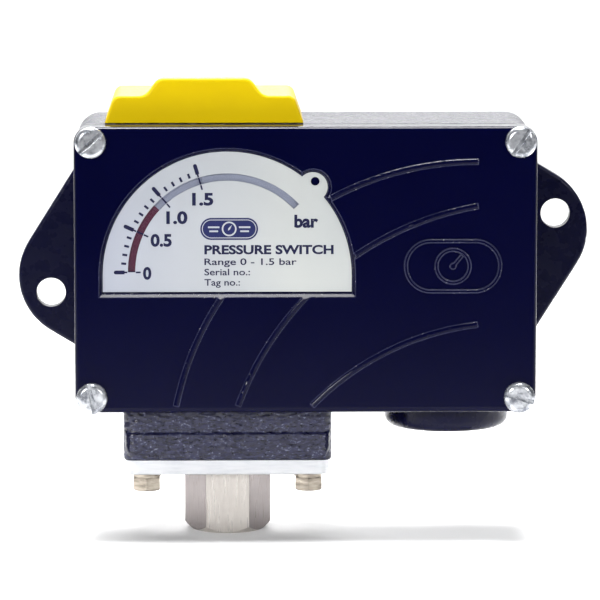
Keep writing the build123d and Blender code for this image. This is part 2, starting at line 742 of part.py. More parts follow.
with BuildPart() as indicator_shaft:
    with BuildSketch(front(PINION_OUT)):
        with Locations((AXIS_X, DIAL_Z)):
            Circle(INDICATOR_SHAFT_D / 2)
    extrude(amount=DISC_OUT + DISC_T - PINION_OUT)
save(indicator_shaft.part, "indicator_shaft")

with BuildPart() as indicator_pinion:
    with BuildSketch(front(PINION_OUT)):
        with Locations((AXIS_X, DIAL_Z)):
            Circle(PITCH_R - TOOTH_ROOT)
        with Locations((AXIS_X, DIAL_Z)):
            with PolarLocations(0, PINION_TEETH):
                # Straight-sided tooth: half widths at the root, on the pitch line and at the tip.
                Polygon(
                    (PITCH_R - TOOTH_ROOT - PINION_TOOTH_SUNK, -ROOT_HALF),
                    (PITCH_R, -TOOTH_HALF),
                    (PITCH_R + TOOTH_TOP, -TIP_HALF),
                    (PITCH_R + TOOTH_TOP, TIP_HALF),
                    (PITCH_R, TOOTH_HALF),
                    (PITCH_R - TOOTH_ROOT - PINION_TOOTH_SUNK, ROOT_HALF),
                    align=None,
                )
        with Locations((AXIS_X, DIAL_Z)):
            Circle(INDICATOR_SHAFT_D / 2 + FIT, mode=Mode.SUBTRACT)
    extrude(amount=PINION_T)
save(indicator_pinion.part, "indicator_pinion")

# ---- Bridge that carries the indicator -----------------------------------------------------
with BuildPart() as indicator_bridge:
    with BuildSketch(front(BRIDGE_OUT)):
        with Locations((AXIS_X, DIAL_Z)):
            RectangleRounded(2 * (POST_X + BRIDGE_END), BRIDGE_H, BRIDGE_CORNER)
            Circle(INDICATOR_BUSH_D / 2 + FIT, mode=Mode.SUBTRACT)
        with Locations(*post_places):
            Circle(M3_D / 2 + BOLT_GAP, mode=Mode.SUBTRACT)
    extrude(amount=BRIDGE_T)
save(indicator_bridge.part, "indicator_bridge")

with BuildPart() as indicator_bush:
    with BuildSketch(front(BRIDGE_OUT)):
        with Locations((AXIS_X, DIAL_Z)):
            Circle(INDICATOR_BUSH_D / 2)
    extrude(amount=INDICATOR_BUSH_FRONT)
    with BuildSketch(front(BRIDGE_OUT)):
        with Locations((AXIS_X, DIAL_Z)):
            Circle(INDICATOR_BUSH_FLANGE_D / 2)
    extrude(amount=-INDICATOR_BUSH_FLANGE_T)
    with BuildSketch(front(BRIDGE_OUT - INDICATOR_BUSH_FLANGE_T)):
        with Locations((AXIS_X, DIAL_Z)):
            Circle(INDICATOR_SHAFT_D / 2 + RUN)
    extrude(amount=INDICATOR_BUSH_FRONT + INDICATOR_BUSH_FLANGE_T, mode=Mode.SUBTRACT)
save(indicator_bush.part, "indicator_bush")

with BuildPart() as bridge_posts:
    with BuildSketch(front(WALL)):
        with Locations(*post_places):
            RegularPolygon(POST_D / 2, 6, major_radius=False)
    extrude(amount=BRIDGE_OUT - WALL)
    with BuildSketch(front(WALL)):
        with Locations(*post_places):
            Circle(M3_D / 2)
    extrude(amount=-POST_STUD_L)
    with BuildSketch(front(BRIDGE_OUT)):
        with Locations(*post_places):
            Circle(M3_D / 2 + FIT)
    extrude(amount=-POST_HOLE_L, mode=Mode.SUBTRACT)
save(bridge_posts.part, "bridge_posts")


def small_screw(length, slot_angle=SMALL_SCREW_ANGLE):
    """M3 slotted pan-head screw along +Z."""
    return screw_shape(M3_D, length, M3_HEAD_D, M3_HEAD_T, SMALL_SLOT_W, SMALL_SLOT_DEPTH, slot_angle)


bridge_screws = [
    facing_front(small_screw(BRIDGE_T + POST_HOLE_L - TAP_SPARE), x, z, BRIDGE_OUT + BRIDGE_T)
    for x, z in post_places
]
save(Compound(children=bridge_screws), "bridge_screws")

# ---- Spindles, their bushes, clips, nuts and springs ---------------------------------------
def spindle(x, low_z):
    """Adjusting spindle: slotted head above the roof, retaining groove, collar and thread."""
    with BuildPart() as shaft:
        with BuildSketch(level(low_z)):
            with Locations((x, AXIS_Y)):
                Circle(SPINDLE_D / 2)
        extrude(amount=SPINDLE_TOP_Z - low_z)
        chamfer(shaft.edges().group_by(Axis.Z)[-1], SPINDLE_CHAMFER)
        with BuildSketch(level(COLLAR_TOP_Z - COLLAR_T)):
            with Locations((x, AXIS_Y)):
                Circle(COLLAR_D / 2)
        extrude(amount=COLLAR_T)
        with BuildSketch(level(CLIP_Z)):
            with Locations((x, AXIS_Y)):
                Circle(SPINDLE_D / 2 + OVERRUN)
                Circle(GROOVE_D / 2, mode=Mode.SUBTRACT)
        extrude(amount=CLIP_T + FIT, mode=Mode.SUBTRACT)
        with BuildSketch(level(SPINDLE_TOP_Z - SPINDLE_SLOT_DEPTH)):
            with Locations((x, AXIS_Y)):
                Rectangle(SPINDLE_D + OVERRUN, SPINDLE_SLOT_W)
        extrude(amount=SPINDLE_SLOT_DEPTH, mode=Mode.SUBTRACT)
    return shaft.part


def spindle_clip(x):
    """Open retaining ring in the spindle's groove."""
    with BuildPart() as ring:
        with BuildSketch(level(CLIP_Z + FIT / 2)):
            with Locations((x, AXIS_Y)):
                Circle(CLIP_D / 2)
                Circle(GROOVE_D / 2 + FIT, mode=Mode.SUBTRACT)
            with Locations((x, AXIS_Y - CLIP_D / 2)):
                Rectangle(CLIP_MOUTH_W, CLIP_D / 2, mode=Mode.SUBTRACT)
        extrude(amount=CLIP_T)
    return ring.part


save(spindle(AXIS_X, SPINDLE_LOW_Z), "range_spindle")
save(spindle(DIFF_X, DIFF_NUT_Z - DIFF_THREAD_BELOW_NUT), "differential_spindle")
save(spindle_clip(AXIS_X), "range_clip")
save(spindle_clip(DIFF_X), "differential_clip")

with BuildPart() as spindle_bushes:
    with BuildSketch(level(ROOF_IN_Z)):
        with Locations(*spindle_places):
            Circle(BUSH_D / 2)
    extrude(amount=WALL)
    with BuildSketch(level(HALF_H)):
        with Locations(*spindle_places):
            Circle(BUSH_FLANGE_D / 2)
    extrude(amount=BUSH_FLANGE_T)
    with BuildSketch(level(ROOF_IN_Z)):
        with Locations(*spindle_places):
            Circle(SPINDLE_D / 2 + RUN)
    extrude(amount=WALL + BUSH_FLANGE_T, mode=Mode.SUBTRACT)
save(spindle_bushes.part, "spindle_bushes")

with BuildPart() as guide_rod:
    with BuildSketch(level(GUIDE_ROD_LOW_Z)):
        with Locations((GUIDE_ROD_X, AXIS_Y)):
            Circle(GUIDE_ROD_D / 2)
    extrude(amount=ROOF_IN_Z - GUIDE_ROD_LOW_Z)
    with BuildSketch(level(ROOF_IN_Z)):
        with Locations((GUIDE_ROD_X, AXIS_Y)):
            Circle(GUIDE_TENON_D / 2)
    extrude(amount=GUIDE_TENON_L)
save(guide_rod.part, "guide_rod")


def nut_body(x, z, diameter, coil_d, wire_d):
    """Travelling spring seat: flange, lug round the guide rod and pilot inside the spring."""
    towards_rod = 1 if GUIDE_ROD_X > x else -1
    with BuildPart() as seat:
        with BuildSketch(level(z)):
            with Locations((x, AXIS_Y)):
                Circle(diameter / 2)
            with Locations(((x + GUIDE_ROD_X) / 2, AXIS_Y)):
                Rectangle(abs(GUIDE_ROD_X - x), LUG_W)
            with Locations((GUIDE_ROD_X, AXIS_Y)):
                Circle(LUG_W / 2)
        extrude(amount=NUT_T)
        with BuildSketch(level(z - PILOT_T)):
            with Locations((x, AXIS_Y)):
                Circle(coil_d / 2 - wire_d - SEAT)
        extrude(amount=PILOT_T)
        with BuildSketch(level(z - PILOT_T)):
            with Locations((x, AXIS_Y)):
                Circle(NUT_RUN_R)
            with Locations((GUIDE_ROD_X, AXIS_Y)):
                Circle(GUIDE_ROD_D / 2 + RUN)
        extrude(amount=NUT_T + PILOT_T, mode=Mode.SUBTRACT)
    return seat.part


with BuildPart() as range_nut:
    add(nut_body(AXIS_X, RANGE_NUT_Z, RANGE_NUT_D, RANGE_COIL_D, RANGE_WIRE_D))
    # Arm to the front, the bar that hangs from it and the rack's teeth.
    arm_back_out = AXIS_OUT + RANGE_NUT_D / 4
    with BuildSketch(level(RANGE_NUT_Z)):
        with Locations((RACK_X + TOOTH_ROOT, -(arm_back_out + PINION_OUT + PINION_T) / 2)):
            Rectangle(RACK_BACK, PINION_OUT + PINION_T - arm_back_out, align=(Align.MIN, Align.CENTER))
    extrude(amount=NUT_T)
    with BuildSketch(front(PINION_OUT)):
        with Locations((RACK_X + TOOTH_ROOT, RACK_LOW_Z)):
            Rectangle(RACK_BACK, RANGE_NUT_Z + NUT_T - RACK_LOW_Z, align=(Align.MIN, Align.MIN))
        # The gaps sit level with the pinion's axis, so each tooth is half a pitch off it.
        for tooth in RACK_TEETH:
            tooth_z = DIAL_Z + (tooth + 0.5) * TOOTH_PITCH
            with BuildLine():
                Polyline(
                    (RACK_X + TOOTH_ROOT + RACK_TOOTH_SUNK, tooth_z - ROOT_HALF),
                    (RACK_X, tooth_z - TOOTH_HALF),
                    (RACK_X - TOOTH_TOP, tooth_z - TIP_HALF),
                    (RACK_X - TOOTH_TOP, tooth_z + TIP_HALF),
                    (RACK_X, tooth_z + TOOTH_HALF),
                    (RACK_X + TOOTH_ROOT + RACK_TOOTH_SUNK, tooth_z + ROOT_HALF),
                    close=True,
                )
            make_face()
    extrude(amount=PINION_T)
save(range_nut.part, "range_nut")

save(nut_body(DIFF_X, DIFF_NUT_Z, DIFF_NUT_D, DIFF_COIL_D, DIFF_WIRE_D), "differential_nut")


def coil_spring(x, low_z, top_z, coil_d, wire_d, turns):
    """Compression spring between two seats."""
    run = top_z - low_z - wire_d - 2 * SEAT
    start_z = low_z + wire_d / 2 + SEAT
    with BuildPart() as spring:
        with BuildLine() as wire_line:
            Helix(pitch=run / turns, height=run, radius=(coil_d - wire_d) / 2, center=(x, AXIS_Y, start_z))
        with BuildSketch(Plane(origin=wire_line.line @ 0, z_dir=wire_line.line % 0)):
            Circle(wire_d / 2)
        sweep(path=wire_line.line, is_frenet=True)
    return spring.part


range_spring = coil_spring(AXIS_X, LEVER_TOP_Z, RANGE_NUT_Z, RANGE_COIL_D, RANGE_WIRE_D, RANGE_TURNS)
save(range_spring, "range_spring")
differential_spring = coil_spring(DIFF_X, LEVER_TOP_Z, DIFF_NUT_Z, DIFF_COIL_D, DIFF_WIRE_D, DIFF_TURNS)
save(differential_spring, "differential_spring")

# ---- Lever, its pin and bracket ------------------------------------------------------------
lever_back_out = AXIS_OUT - LEVER_W / 2
lever_front_out = AXIS_OUT + LEVER_W / 2
ear_back_out = lever_back_out - BRACKET_EAR_GAP - BRACKET_T
ear_front_out = lever_front_out + BRACKET_EAR_GAP

with BuildPart() as main_lever:
    with BuildSketch(front(lever_back_out)):
        with Locations((PIVOT_X, PIVOT_Z)):
            Circle(KNUCKLE_R)
        with Locations((PIVOT_X, PIVOT_Z)):
            Rectangle(LEVER_END_X - PIVOT_X, LEVER_T, align=(Align.MIN, Align.CENTER))
        with Locations((PIVOT_X, PIVOT_Z)):
            Circle(PIN_D / 2 + RUN, mode=Mode.SUBTRACT)
    extrude(amount=LEVER_W)
save(main_lever.part, "main_lever")

with BuildPart() as lever_pin:
    with BuildSketch(front(ear_back_out - PIN_OVERHANG)):
        with Locations((PIVOT_X, PIVOT_Z)):
            Circle(PIN_D / 2)
    extrude(amount=ear_front_out + BRACKET_T + 2 * PIN_OVERHANG - ear_back_out)
    chamfer(lever_pin.edges().filter_by(GeomType.CIRCLE), PIN_CHAMFER)
save(lever_pin.part, "lever_pin")

with BuildPart() as lever_bracket:
    bracket_h = BRACKET_TOP_Z - BRACKET_LOW_Z
    with BuildSketch(front(WALL)):
        with Locations((BRACKET_WEB_X, BRACKET_LOW_Z)):
            Rectangle(
                BRACKET_FOOT_END_X - BRACKET_WEB_X,
                BRACKET_FOOT_TOP_Z - BRACKET_LOW_Z,
                align=(Align.MIN, Align.MIN),
            )
    extrude(amount=BRACKET_T)
    with BuildSketch(front(WALL)):
        with Locations((BRACKET_WEB_X, BRACKET_LOW_Z)):
            Rectangle(BRACKET_T, bracket_h, align=(Align.MIN, Align.MIN))
    extrude(amount=ear_front_out + BRACKET_T - WALL)
    for ear_out in (ear_back_out, ear_front_out):
        with BuildSketch(front(ear_out)):
            with Locations((BRACKET_WEB_X, BRACKET_LOW_Z)):
                Rectangle(BRACKET_EAR_END_X - BRACKET_WEB_X, bracket_h, align=(Align.MIN, Align.MIN))
        extrude(amount=BRACKET_T)
    with BuildSketch(front(ear_back_out)):
        with Locations((PIVOT_X, PIVOT_Z)):
            Circle(PIN_D / 2 + FIT)
    extrude(amount=ear_front_out + BRACKET_T - ear_back_out, mode=Mode.SUBTRACT)
    with BuildSketch(front(WALL)):
        with Locations(*bracket_screw_places):
            Circle(M3_D / 2 + BOLT_GAP)
    extrude(amount=BRACKET_T, mode=Mode.SUBTRACT)
save(lever_bracket.part, "lever_bracket")

bracket_screws = [
    facing_front(small_screw(BRACKET_T + M3_TAP_DEPTH - SEAT), x, z, WALL + BRACKET_T)
    for x, z in bracket_screw_places
]
save(Compound(children=bracket_screws), "bracket_screws")

# ---- Push rod, its guide bush, support plate and diaphragm ---------------------------------
with BuildPart() as support_plate:
    with BuildSketch(level(SUPPORT_LOW_Z)):
        with Locations((AXIS_X, AXIS_Y)):
            Circle(SUPPORT_D / 2)
    extrude(amount=SUPPORT_T)
    fillet(support_plate.edges().group_by(Axis.Z)[0], SUPPORT_EDGE)
save(support_plate.part, "support_plate")

with BuildPart() as push_rod:
    with BuildSketch(level(ROD_LOW_Z)):
        with Locations((AXIS_X, AXIS_Y)):
            Circle(ROD_D / 2)
    extrude(amount=ROD_TOP_Z - ROD_LOW_Z)
    fillet(push_rod.edges().group_by(Axis.Z)[-1], ROD_D / 2 - ROD_TIP_R)
save(push_rod.part, "push_rod")

with BuildPart() as rod_guide_bush:
    bush_low_z = NECK_BOTTOM_Z + NECK_CHAMBER_H
    with BuildSketch(level(bush_low_z)):
        with Locations((AXIS_X, AXIS_Y)):
            Circle(GUIDE_BUSH_D / 2)
    extrude(amount=FLOOR_IN_Z - bush_low_z)
    with BuildSketch(level(FLOOR_IN_Z)):
        with Locations((AXIS_X, AXIS_Y)):
            Circle(GUIDE_BUSH_FLANGE_D / 2)
    extrude(amount=GUIDE_BUSH_FLANGE_T)
    with BuildSketch(level(bush_low_z)):
        with Locations((AXIS_X, AXIS_Y)):
            Circle(ROD_D / 2 + RUN)
    extrude(amount=FLOOR_IN_Z + GUIDE_BUSH_FLANGE_T - bush_low_z, mode=Mode.SUBTRACT)
save(rod_guide_bush.part, "rod_guide_bush")

with BuildPart() as diaphragm:
    with BuildSketch(level(NECK_BOTTOM_Z)):
        with Locations((AXIS_X, AXIS_Y)):
            Circle(DIAPHRAGM_D / 2 - RUN)
    extrude(amount=-DIAPHRAGM_T)
save(diaphragm.part, "diaphragm")

# ---- Flange plate, bolts and washers -------------------------------------------------------
with BuildPart() as flange_plate:
    with BuildSketch(level(FLANGE_LOW_Z)):
        with Locations((AXIS_X, AXIS_Y)):
            RectangleRounded(FLANGE_W, NECK_D, FLANGE_CORNER)
            Circle(SPIGOT_D / 2 + FIT, mode=Mode.SUBTRACT)
        with Locations(*bolt_places):
            Circle(BOLT_D / 2 + BOLT_GAP, mode=Mode.SUBTRACT)
    extrude(amount=FLANGE_T)
    with BuildSketch(level(NECK_BOTTOM_Z)):
        with Locations((AXIS_X, AXIS_Y)):
            Circle(DIAPHRAGM_D / 2)
    extrude(amount=-DIAPHRAGM_T, mode=Mode.SUBTRACT)
    with BuildSketch(level(NECK_BOTTOM_Z - DIAPHRAGM_T)):
        with Locations((AXIS_X, AXIS_Y)):
            Circle(PRESSURE_CHAMBER_D / 2)
    extrude(amount=-PRESSURE_CHAMBER_T, mode=Mode.SUBTRACT)
    chamfer(flange_plate.faces().sort_by(Axis.Z)[0].outer_wire().edges(), FLANGE_CHAMFER)
save(flange_plate.part, "flange_plate")

with BuildPart() as spring_washers:
    with BuildSketch(level(BOLT_HEAD_Z)):
        with Locations(*bolt_places):
            Circle(SPRING_WASHER_D / 2)
            Circle(BOLT_D / 2 + BOLT_GAP / 2, mode=Mode.SUBTRACT)
        with Locations(*[(x + SPRING_WASHER_D / 2, y) for x, y in bolt_places]):
            Rectangle(
                SPRING_WASHER_D / 2,
                SPRING_WASHER_GAP,
                rotation=SPRING_WASHER_ANGLE,
                mode=Mode.SUBTRACT,
            )
    extrude(amount=SPRING_WASHER_T)
save(spring_washers.part, "spring_washers")


def chamfered_hexagon(across_flats, height, chamfer_size, top_z, x, y, turn):
    """Hexagon hanging below a height, its lower corners turned off, a flat forward at no turn."""
    corner_r = across_flats / sqrt(3)
    with BuildPart() as turned:
        with BuildSketch(level(top_z)):
            with Locations((x, y)):
                Circle(corner_r)
        extrude(amount=-height)
        chamfer(turned.edges().group_by(Axis.Z)[0], chamfer_size, chamfer_size * CHAMFER_RATIO)
    with BuildPart() as hexagon:
        with BuildSketch(level(top_z)):
            with Locations((x, y)):
                RegularPolygon(across_flats / 2, 6, major_radius=False, rotation=turn)
        extrude(amount=-height)
        add(turned.part, mode=Mode.INTERSECT)
    return hexagon.part


flange_bolts = []
for bolt_x, bolt_y in bolt_places:
    with BuildPart() as flange_bolt:
        add(chamfered_hexagon(BOLT_AF, BOLT_HEAD_T, BOLT_CHAMFER, BOLT_HEAD_Z, bolt_x, bolt_y, BOLT_TURN))
        with BuildSketch(level(BOLT_HEAD_Z)):
            with Locations((bolt_x, bolt_y)):
                Circle(BOLT_D / 2)
        extrude(amount=SPRING_WASHER_T + FLANGE_T + BOLT_L - TAP_SPARE)
    flange_bolts.append(flange_bolt.part)
save(Compound(children=flange_bolts), "flange_bolts")

# ---- Pressure port and its seal ------------------------------------------------------------
with BuildPart() as pressure_port:
    add(chamfered_hexagon(PORT_AF, PORT_L, PORT_CHAMFER, FLANGE_LOW_Z, AXIS_X, AXIS_Y, PORT_TURN))
    with BuildSketch(level(FLANGE_LOW_Z)):
        with Locations((AXIS_X, AXIS_Y)):
            Circle(SPIGOT_D / 2)
    extrude(amount=FLANGE_T - DIAPHRAGM_T - PRESSURE_CHAMBER_T)
    with BuildSketch(level(FLANGE_LOW_Z)):
        with Locations((AXIS_X, AXIS_Y)):
            Circle(SEAL_R + SEAL_W / 2 + RUN)
            Circle(SEAL_R - SEAL_W / 2 - RUN, mode=Mode.SUBTRACT)
    extrude(amount=-SEAL_T, mode=Mode.SUBTRACT)
    with BuildSketch(level(PORT_LOW_Z)):
        with Locations((AXIS_X, AXIS_Y)):
            Circle(PORT_PASSAGE_D / 2)
    extrude(amount=PORT_L + FLANGE_T, mode=Mode.SUBTRACT)
    with BuildSketch(level(PORT_LOW_Z)):
        with Locations((AXIS_X, AXIS_Y)):
            Circle(PORT_THREAD_D / 2)
    extrude(amount=PORT_THREAD_L, mode=Mode.SUBTRACT)
save(pressure_port.part, "pressure_port")

with BuildPart() as port_seal:
    with BuildSketch(level(FLANGE_LOW_Z)):
        with Locations((AXIS_X, AXIS_Y)):
            Circle(SEAL_R + SEAL_W / 2)
            Circle(SEAL_R - SEAL_W / 2, mode=Mode.SUBTRACT)
    extrude(amount=-SEAL_T)
save(port_seal.part, "port_seal")

# ---- Microswitch ---------------------------------------------------------------------------
tab_places = [(SWITCH_X + tab_x, AXIS_Y) for tab_x in TAB_XS]

with BuildPart() as microswitch:
    with BuildSketch(front(SWITCH_OUT)):
        with Locations((SWITCH_X, SWITCH_LOW_Z + SWITCH_H / 2)):
            RectangleRounded(SWITCH_W, SWITCH_H, SWITCH_CORNER)
        with Locations(*switch_holes):
            Circle(M3_D / 2 + BOLT_GAP / 2, mode=Mode.SUBTRACT)
    extrude(amount=SWITCH_T)
    with BuildSketch(level(SWITCH_LOW_Z)):
        with Locations((PLUNGER_X, AXIS_Y)):
            Circle(PLUNGER_D / 2 + RUN)
    extrude(amount=PLUNGER_IN + PLUNGER_SPARE, mode=Mode.SUBTRACT)
    with BuildSketch(level(SWITCH_TOP_Z)):
        with Locations(*tab_places):
            Rectangle(TAB_W + 2 * FIT, TAB_T + 2 * FIT)
    extrude(amount=-TAB_IN, mode=Mode.SUBTRACT)
save(microswitch.part, "microswitch")

with BuildPart() as switch_plunger:
    with BuildSketch(level(LEVER_TOP_Z + SEAT)):
        with Locations((PLUNGER_X, AXIS_Y)):
            Circle(PLUNGER_D / 2)
    extrude(amount=SWITCH_LOW_Z + PLUNGER_IN - LEVER_TOP_Z - SEAT)
    fillet(switch_plunger.edges().group_by(Axis.Z)[0], PLUNGER_D / 2 - PLUNGER_TIP_R)
save(switch_plunger.part, "switch_plunger")

with BuildPart() as switch_terminals:
    with BuildSketch(level(SWITCH_TOP_Z - TAB_IN)):
        with Locations(*tab_places):
            Rectangle(TAB_W, TAB_T)
    extrude(amount=TAB_IN + TAB_H)
save(switch_terminals.part, "switch_terminals")

switch_screw = small_screw(SWITCH_T + SWITCH_TAP_DEPTH - TAP_SPARE, SWITCH_SCREW_ANGLE)
switch_screws = [facing_front(switch_screw, x, z, SWITCH_OUT + SWITCH_T) for x, z in switch_holes]
save(Compound(children=switch_screws), "switch_screws")

# ---- Terminal block ------------------------------------------------------------------------
block_w = POLES * POLE_PITCH + 2 * BLOCK_END
block_low_z = BLOCK_Z - BLOCK_H / 2
block_top_z = BLOCK_Z + BLOCK_H / 2
block_out = WALL + BLOCK_T
pole_xs = [BLOCK_X + (pole - (POLES - 1) / 2) * POLE_PITCH for pole in range(POLES)]
terminal_zs = [BLOCK_Z - BLOCK_H / 4, BLOCK_Z + BLOCK_H / 4]

with BuildPart() as terminal_block:
    with BuildSketch(front(WALL)):
        with Locations((BLOCK_X, BLOCK_Z)):
            Rectangle(block_w, BLOCK_H)
    extrude(amount=BLOCK_T)
    with BuildSketch(level(block_low_z)):
        with Locations(*[(x, TERMINAL_Y) for x in pole_xs]):
            Circle(CORE_HOLE_D / 2)
    extrude(amount=CORE_HOLE_DEPTH, mode=Mode.SUBTRACT)
    with BuildSketch(level(block_top_z)):
        with Locations(*[(x, TERMINAL_Y) for x in pole_xs]):
            Circle(LEAD_HOLE_D / 2)
    extrude(amount=-LEAD_HOLE_DEPTH, mode=Mode.SUBTRACT)
    with BuildSketch(front(block_out)):
        with Locations(*[(x, z) for x in pole_xs for z in terminal_zs]):
            Circle(TERMINAL_SCREW_D / 2 + BOLT_GAP)
    extrude(amount=-TERMINAL_SCREW_L, mode=Mode.SUBTRACT)
    with BuildSketch(front(WALL)):
        with Locations(*block_screw_places):
            Circle(M3_D / 2 + BOLT_GAP)
    extrude(amount=BLOCK_T, mode=Mode.SUBTRACT)
    with BuildSketch(front(WALL + BLOCK_RIM)):
        with Locations(*block_screw_places):
            Circle(M3_HEAD_D / 2 + BOLT_GAP)
    extrude(amount=BLOCK_T, mode=Mode.SUBTRACT)
save(terminal_block.part, "terminal_block")

with BuildPart() as terminal_screws:
    with BuildSketch(front(block_out - TERMINAL_SCREW_L)):
        with Locations(*[(x, z) for x in pole_xs for z in terminal_zs]):
            Circle(TERMINAL_SCREW_D / 2)
    extrude(amount=TERMINAL_SCREW_L - TERMINAL_SCREW_SUNK)
    with BuildSketch(front(block_out - TERMINAL_SCREW_SUNK)):
        with Locations(*[(x, z) for x in pole_xs for z in terminal_zs]):
            Rectangle(TERMINAL_SCREW_D + OVERRUN, SMALL_SLOT_W)
    extrude(amount=-SMALL_SLOT_DEPTH, mode=Mode.SUBTRACT)
save(terminal_screws.part, "terminal_screws")

block_screws = [
    facing_front(small_screw(BLOCK_RIM + M3_TAP_DEPTH - SEAT), x, z, WALL + BLOCK_RIM)
    for x, z in block_screw_places
]
save(Compound(children=block_screws), "block_screws")

# ---- Earth screw ---------------------------------------------------------------------------
earth_shape = screw_shape(
    M4_D,
    EARTH_TAP_DEPTH - SEAT,
    M4_HEAD_D,
    M4_HEAD_T,
    SMALL_SLOT_W,
    SMALL_SLOT_DEPTH,
    EARTH_SCREW_ANGLE,
)
save(facing_front(earth_shape, EARTH_X, EARTH_Z, WALL + EARTH_BOSS_H), "earth_screw")

# ---- Internal leads ------------------------------------------------------------------------
internal_leads = []
for (tab_x, tab_y), pole_x, lead_z in zip(tab_places, pole_xs, LEAD_LEVELS):
    with BuildPart() as lead:
        with BuildLine() as lead_path:
            FilletPolyline(
                (tab_x, tab_y, SWITCH_TOP_Z + TAB_H),
                (tab_x, tab_y, lead_z),
                (pole_x, TERMINAL_Y, lead_z),
                (pole_x, TERMINAL_Y, block_top_z - LEAD_IN),
                radius=LEAD_BEND,
            )
        with BuildSketch(level(SWITCH_TOP_Z + TAB_H)):
            with Locations((tab_x, tab_y)):
                Circle(LEAD_D / 2)
        sweep(path=lead_path.line)
    internal_leads.append(lead.part)
save(Compound(children=internal_leads), "internal_leads")

# ---- Adjuster cap --------------------------------------------------------------------------
cap_d = CAP_FRONT_OUT - CAP_BACK_OUT


def cap_profile(inset, top_z):
    """Trapezium of the cap in the front view, its walls moved in by an amount."""
    top_half = CAP_TOP_W / 2 - inset + CAP_SLOPE * (CAP_TOP_Z - top_z)
    low_half = CAP_W / 2 - inset
    Polyline(
        (CAP_X - low_half, CAP_LOW_Z),
        (CAP_X - top_half, top_z),
        (CAP_X + top_half, top_z),
        (CAP_X + low_half, CAP_LOW_Z),
        close=True,
    )


with BuildPart() as adjuster_cap:
    with BuildSketch(front(CAP_BACK_OUT)):
        with BuildLine():
            cap_profile(0, CAP_TOP_Z)
        make_face()
    extrude(amount=cap_d)
    top_edges = adjuster_cap.edges().filter_by(Axis.Y).group_by(Axis.Z)[-1]
    fillet(top_edges, CAP_CORNER)
    # Raised grip along the front edge, its flanks S-shaped.
    with BuildSketch(front(CAP_FRONT_OUT - HUMP_T)):
        with BuildLine():
            grip_foot = HUMP_FOOT_W / 2
            grip_top = HUMP_TOP_W / 2
            grip_z = CAP_TOP_Z + HUMP_H
            left = Spline(
                (CAP_X - grip_foot, CAP_TOP_Z),
                (CAP_X - grip_top, grip_z),
                tangents=((1, 0), (1, 0)),
            )
            right = Spline(
                (CAP_X + grip_top, grip_z),
                (CAP_X + grip_foot, CAP_TOP_Z),
                tangents=((1, 0), (1, 0)),
            )
            Line(left @ 1, right @ 0)
            Polyline(
                left @ 0,
                (CAP_X - grip_foot, CAP_TOP_Z - HUMP_ROOT),
                (CAP_X + grip_foot, CAP_TOP_Z - HUMP_ROOT),
                right @ 1,
            )
        make_face()
    extrude(amount=HUMP_T)
    cap_rim = adjuster_cap.faces().sort_by(Axis.Y)[0].edges()
    fillet(cap_rim.filter_by(lambda edge: edge.center().Z > CAP_LOW_Z + FIT), CAP_EDGE)
    # Hollow, open below.
    with BuildSketch(front(CAP_BACK_OUT + CAP_WALL)):
        with BuildLine():
            cap_profile(CAP_WALL, CAP_TOP_Z - CAP_WALL)
        make_face()
    extrude(amount=cap_d - 2 * CAP_WALL, mode=Mode.SUBTRACT)
save(adjuster_cap.part, "adjuster_cap")
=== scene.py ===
from math import cos, pi, radians, sin

import bmesh
import bpy
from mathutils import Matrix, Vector, noise


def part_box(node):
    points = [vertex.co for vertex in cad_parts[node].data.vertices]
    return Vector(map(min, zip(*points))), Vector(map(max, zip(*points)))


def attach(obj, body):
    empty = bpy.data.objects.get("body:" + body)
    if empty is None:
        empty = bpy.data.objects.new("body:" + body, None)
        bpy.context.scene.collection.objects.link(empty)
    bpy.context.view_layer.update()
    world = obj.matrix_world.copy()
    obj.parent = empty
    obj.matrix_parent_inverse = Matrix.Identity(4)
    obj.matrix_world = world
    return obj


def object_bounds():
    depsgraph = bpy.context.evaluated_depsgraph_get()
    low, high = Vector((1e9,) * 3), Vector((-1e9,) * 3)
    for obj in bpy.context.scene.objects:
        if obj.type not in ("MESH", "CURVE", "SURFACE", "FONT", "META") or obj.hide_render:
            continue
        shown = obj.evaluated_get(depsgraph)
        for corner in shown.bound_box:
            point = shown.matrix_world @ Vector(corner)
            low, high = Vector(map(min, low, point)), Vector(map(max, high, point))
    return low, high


# Wall-mounted pressure switch. Metres, +X right, +Z up, the front looks along -Y.
# On the dial, radii are in millimetres about its centre, and the lettering and the badge are placed
# in millimetres from the frame's origin; both are turned into metres once.
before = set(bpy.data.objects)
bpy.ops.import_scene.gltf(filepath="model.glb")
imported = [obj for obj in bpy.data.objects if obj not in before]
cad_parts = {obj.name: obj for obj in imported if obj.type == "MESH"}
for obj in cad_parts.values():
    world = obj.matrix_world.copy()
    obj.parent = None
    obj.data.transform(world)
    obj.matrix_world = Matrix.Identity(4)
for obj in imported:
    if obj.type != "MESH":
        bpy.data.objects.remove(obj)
cad_low, cad_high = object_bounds()
MM = 0.001

# ---- Places taken from the frame -----------------------------------------------------------
disc_low, disc_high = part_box("indicator_disc")
DIAL_X = (disc_low.x + disc_high.x) / 2
DIAL_Z = (disc_low.z + disc_high.z) / 2
DISC_Y = disc_low.y
PLATE_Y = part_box("scale_plate")[0].y
PANE_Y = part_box("slot_window")[0].y
NECK_FOOT_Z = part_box("flange_plate")[1].z
NECK_HEAD_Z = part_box("front_cover")[0].z
FLOOR_Z = cad_low.z

# Standard, not AgX: the photo is a flat product shot on pure white with strong yellow and navy.
bpy.context.scene.view_settings.view_transform = "Standard"


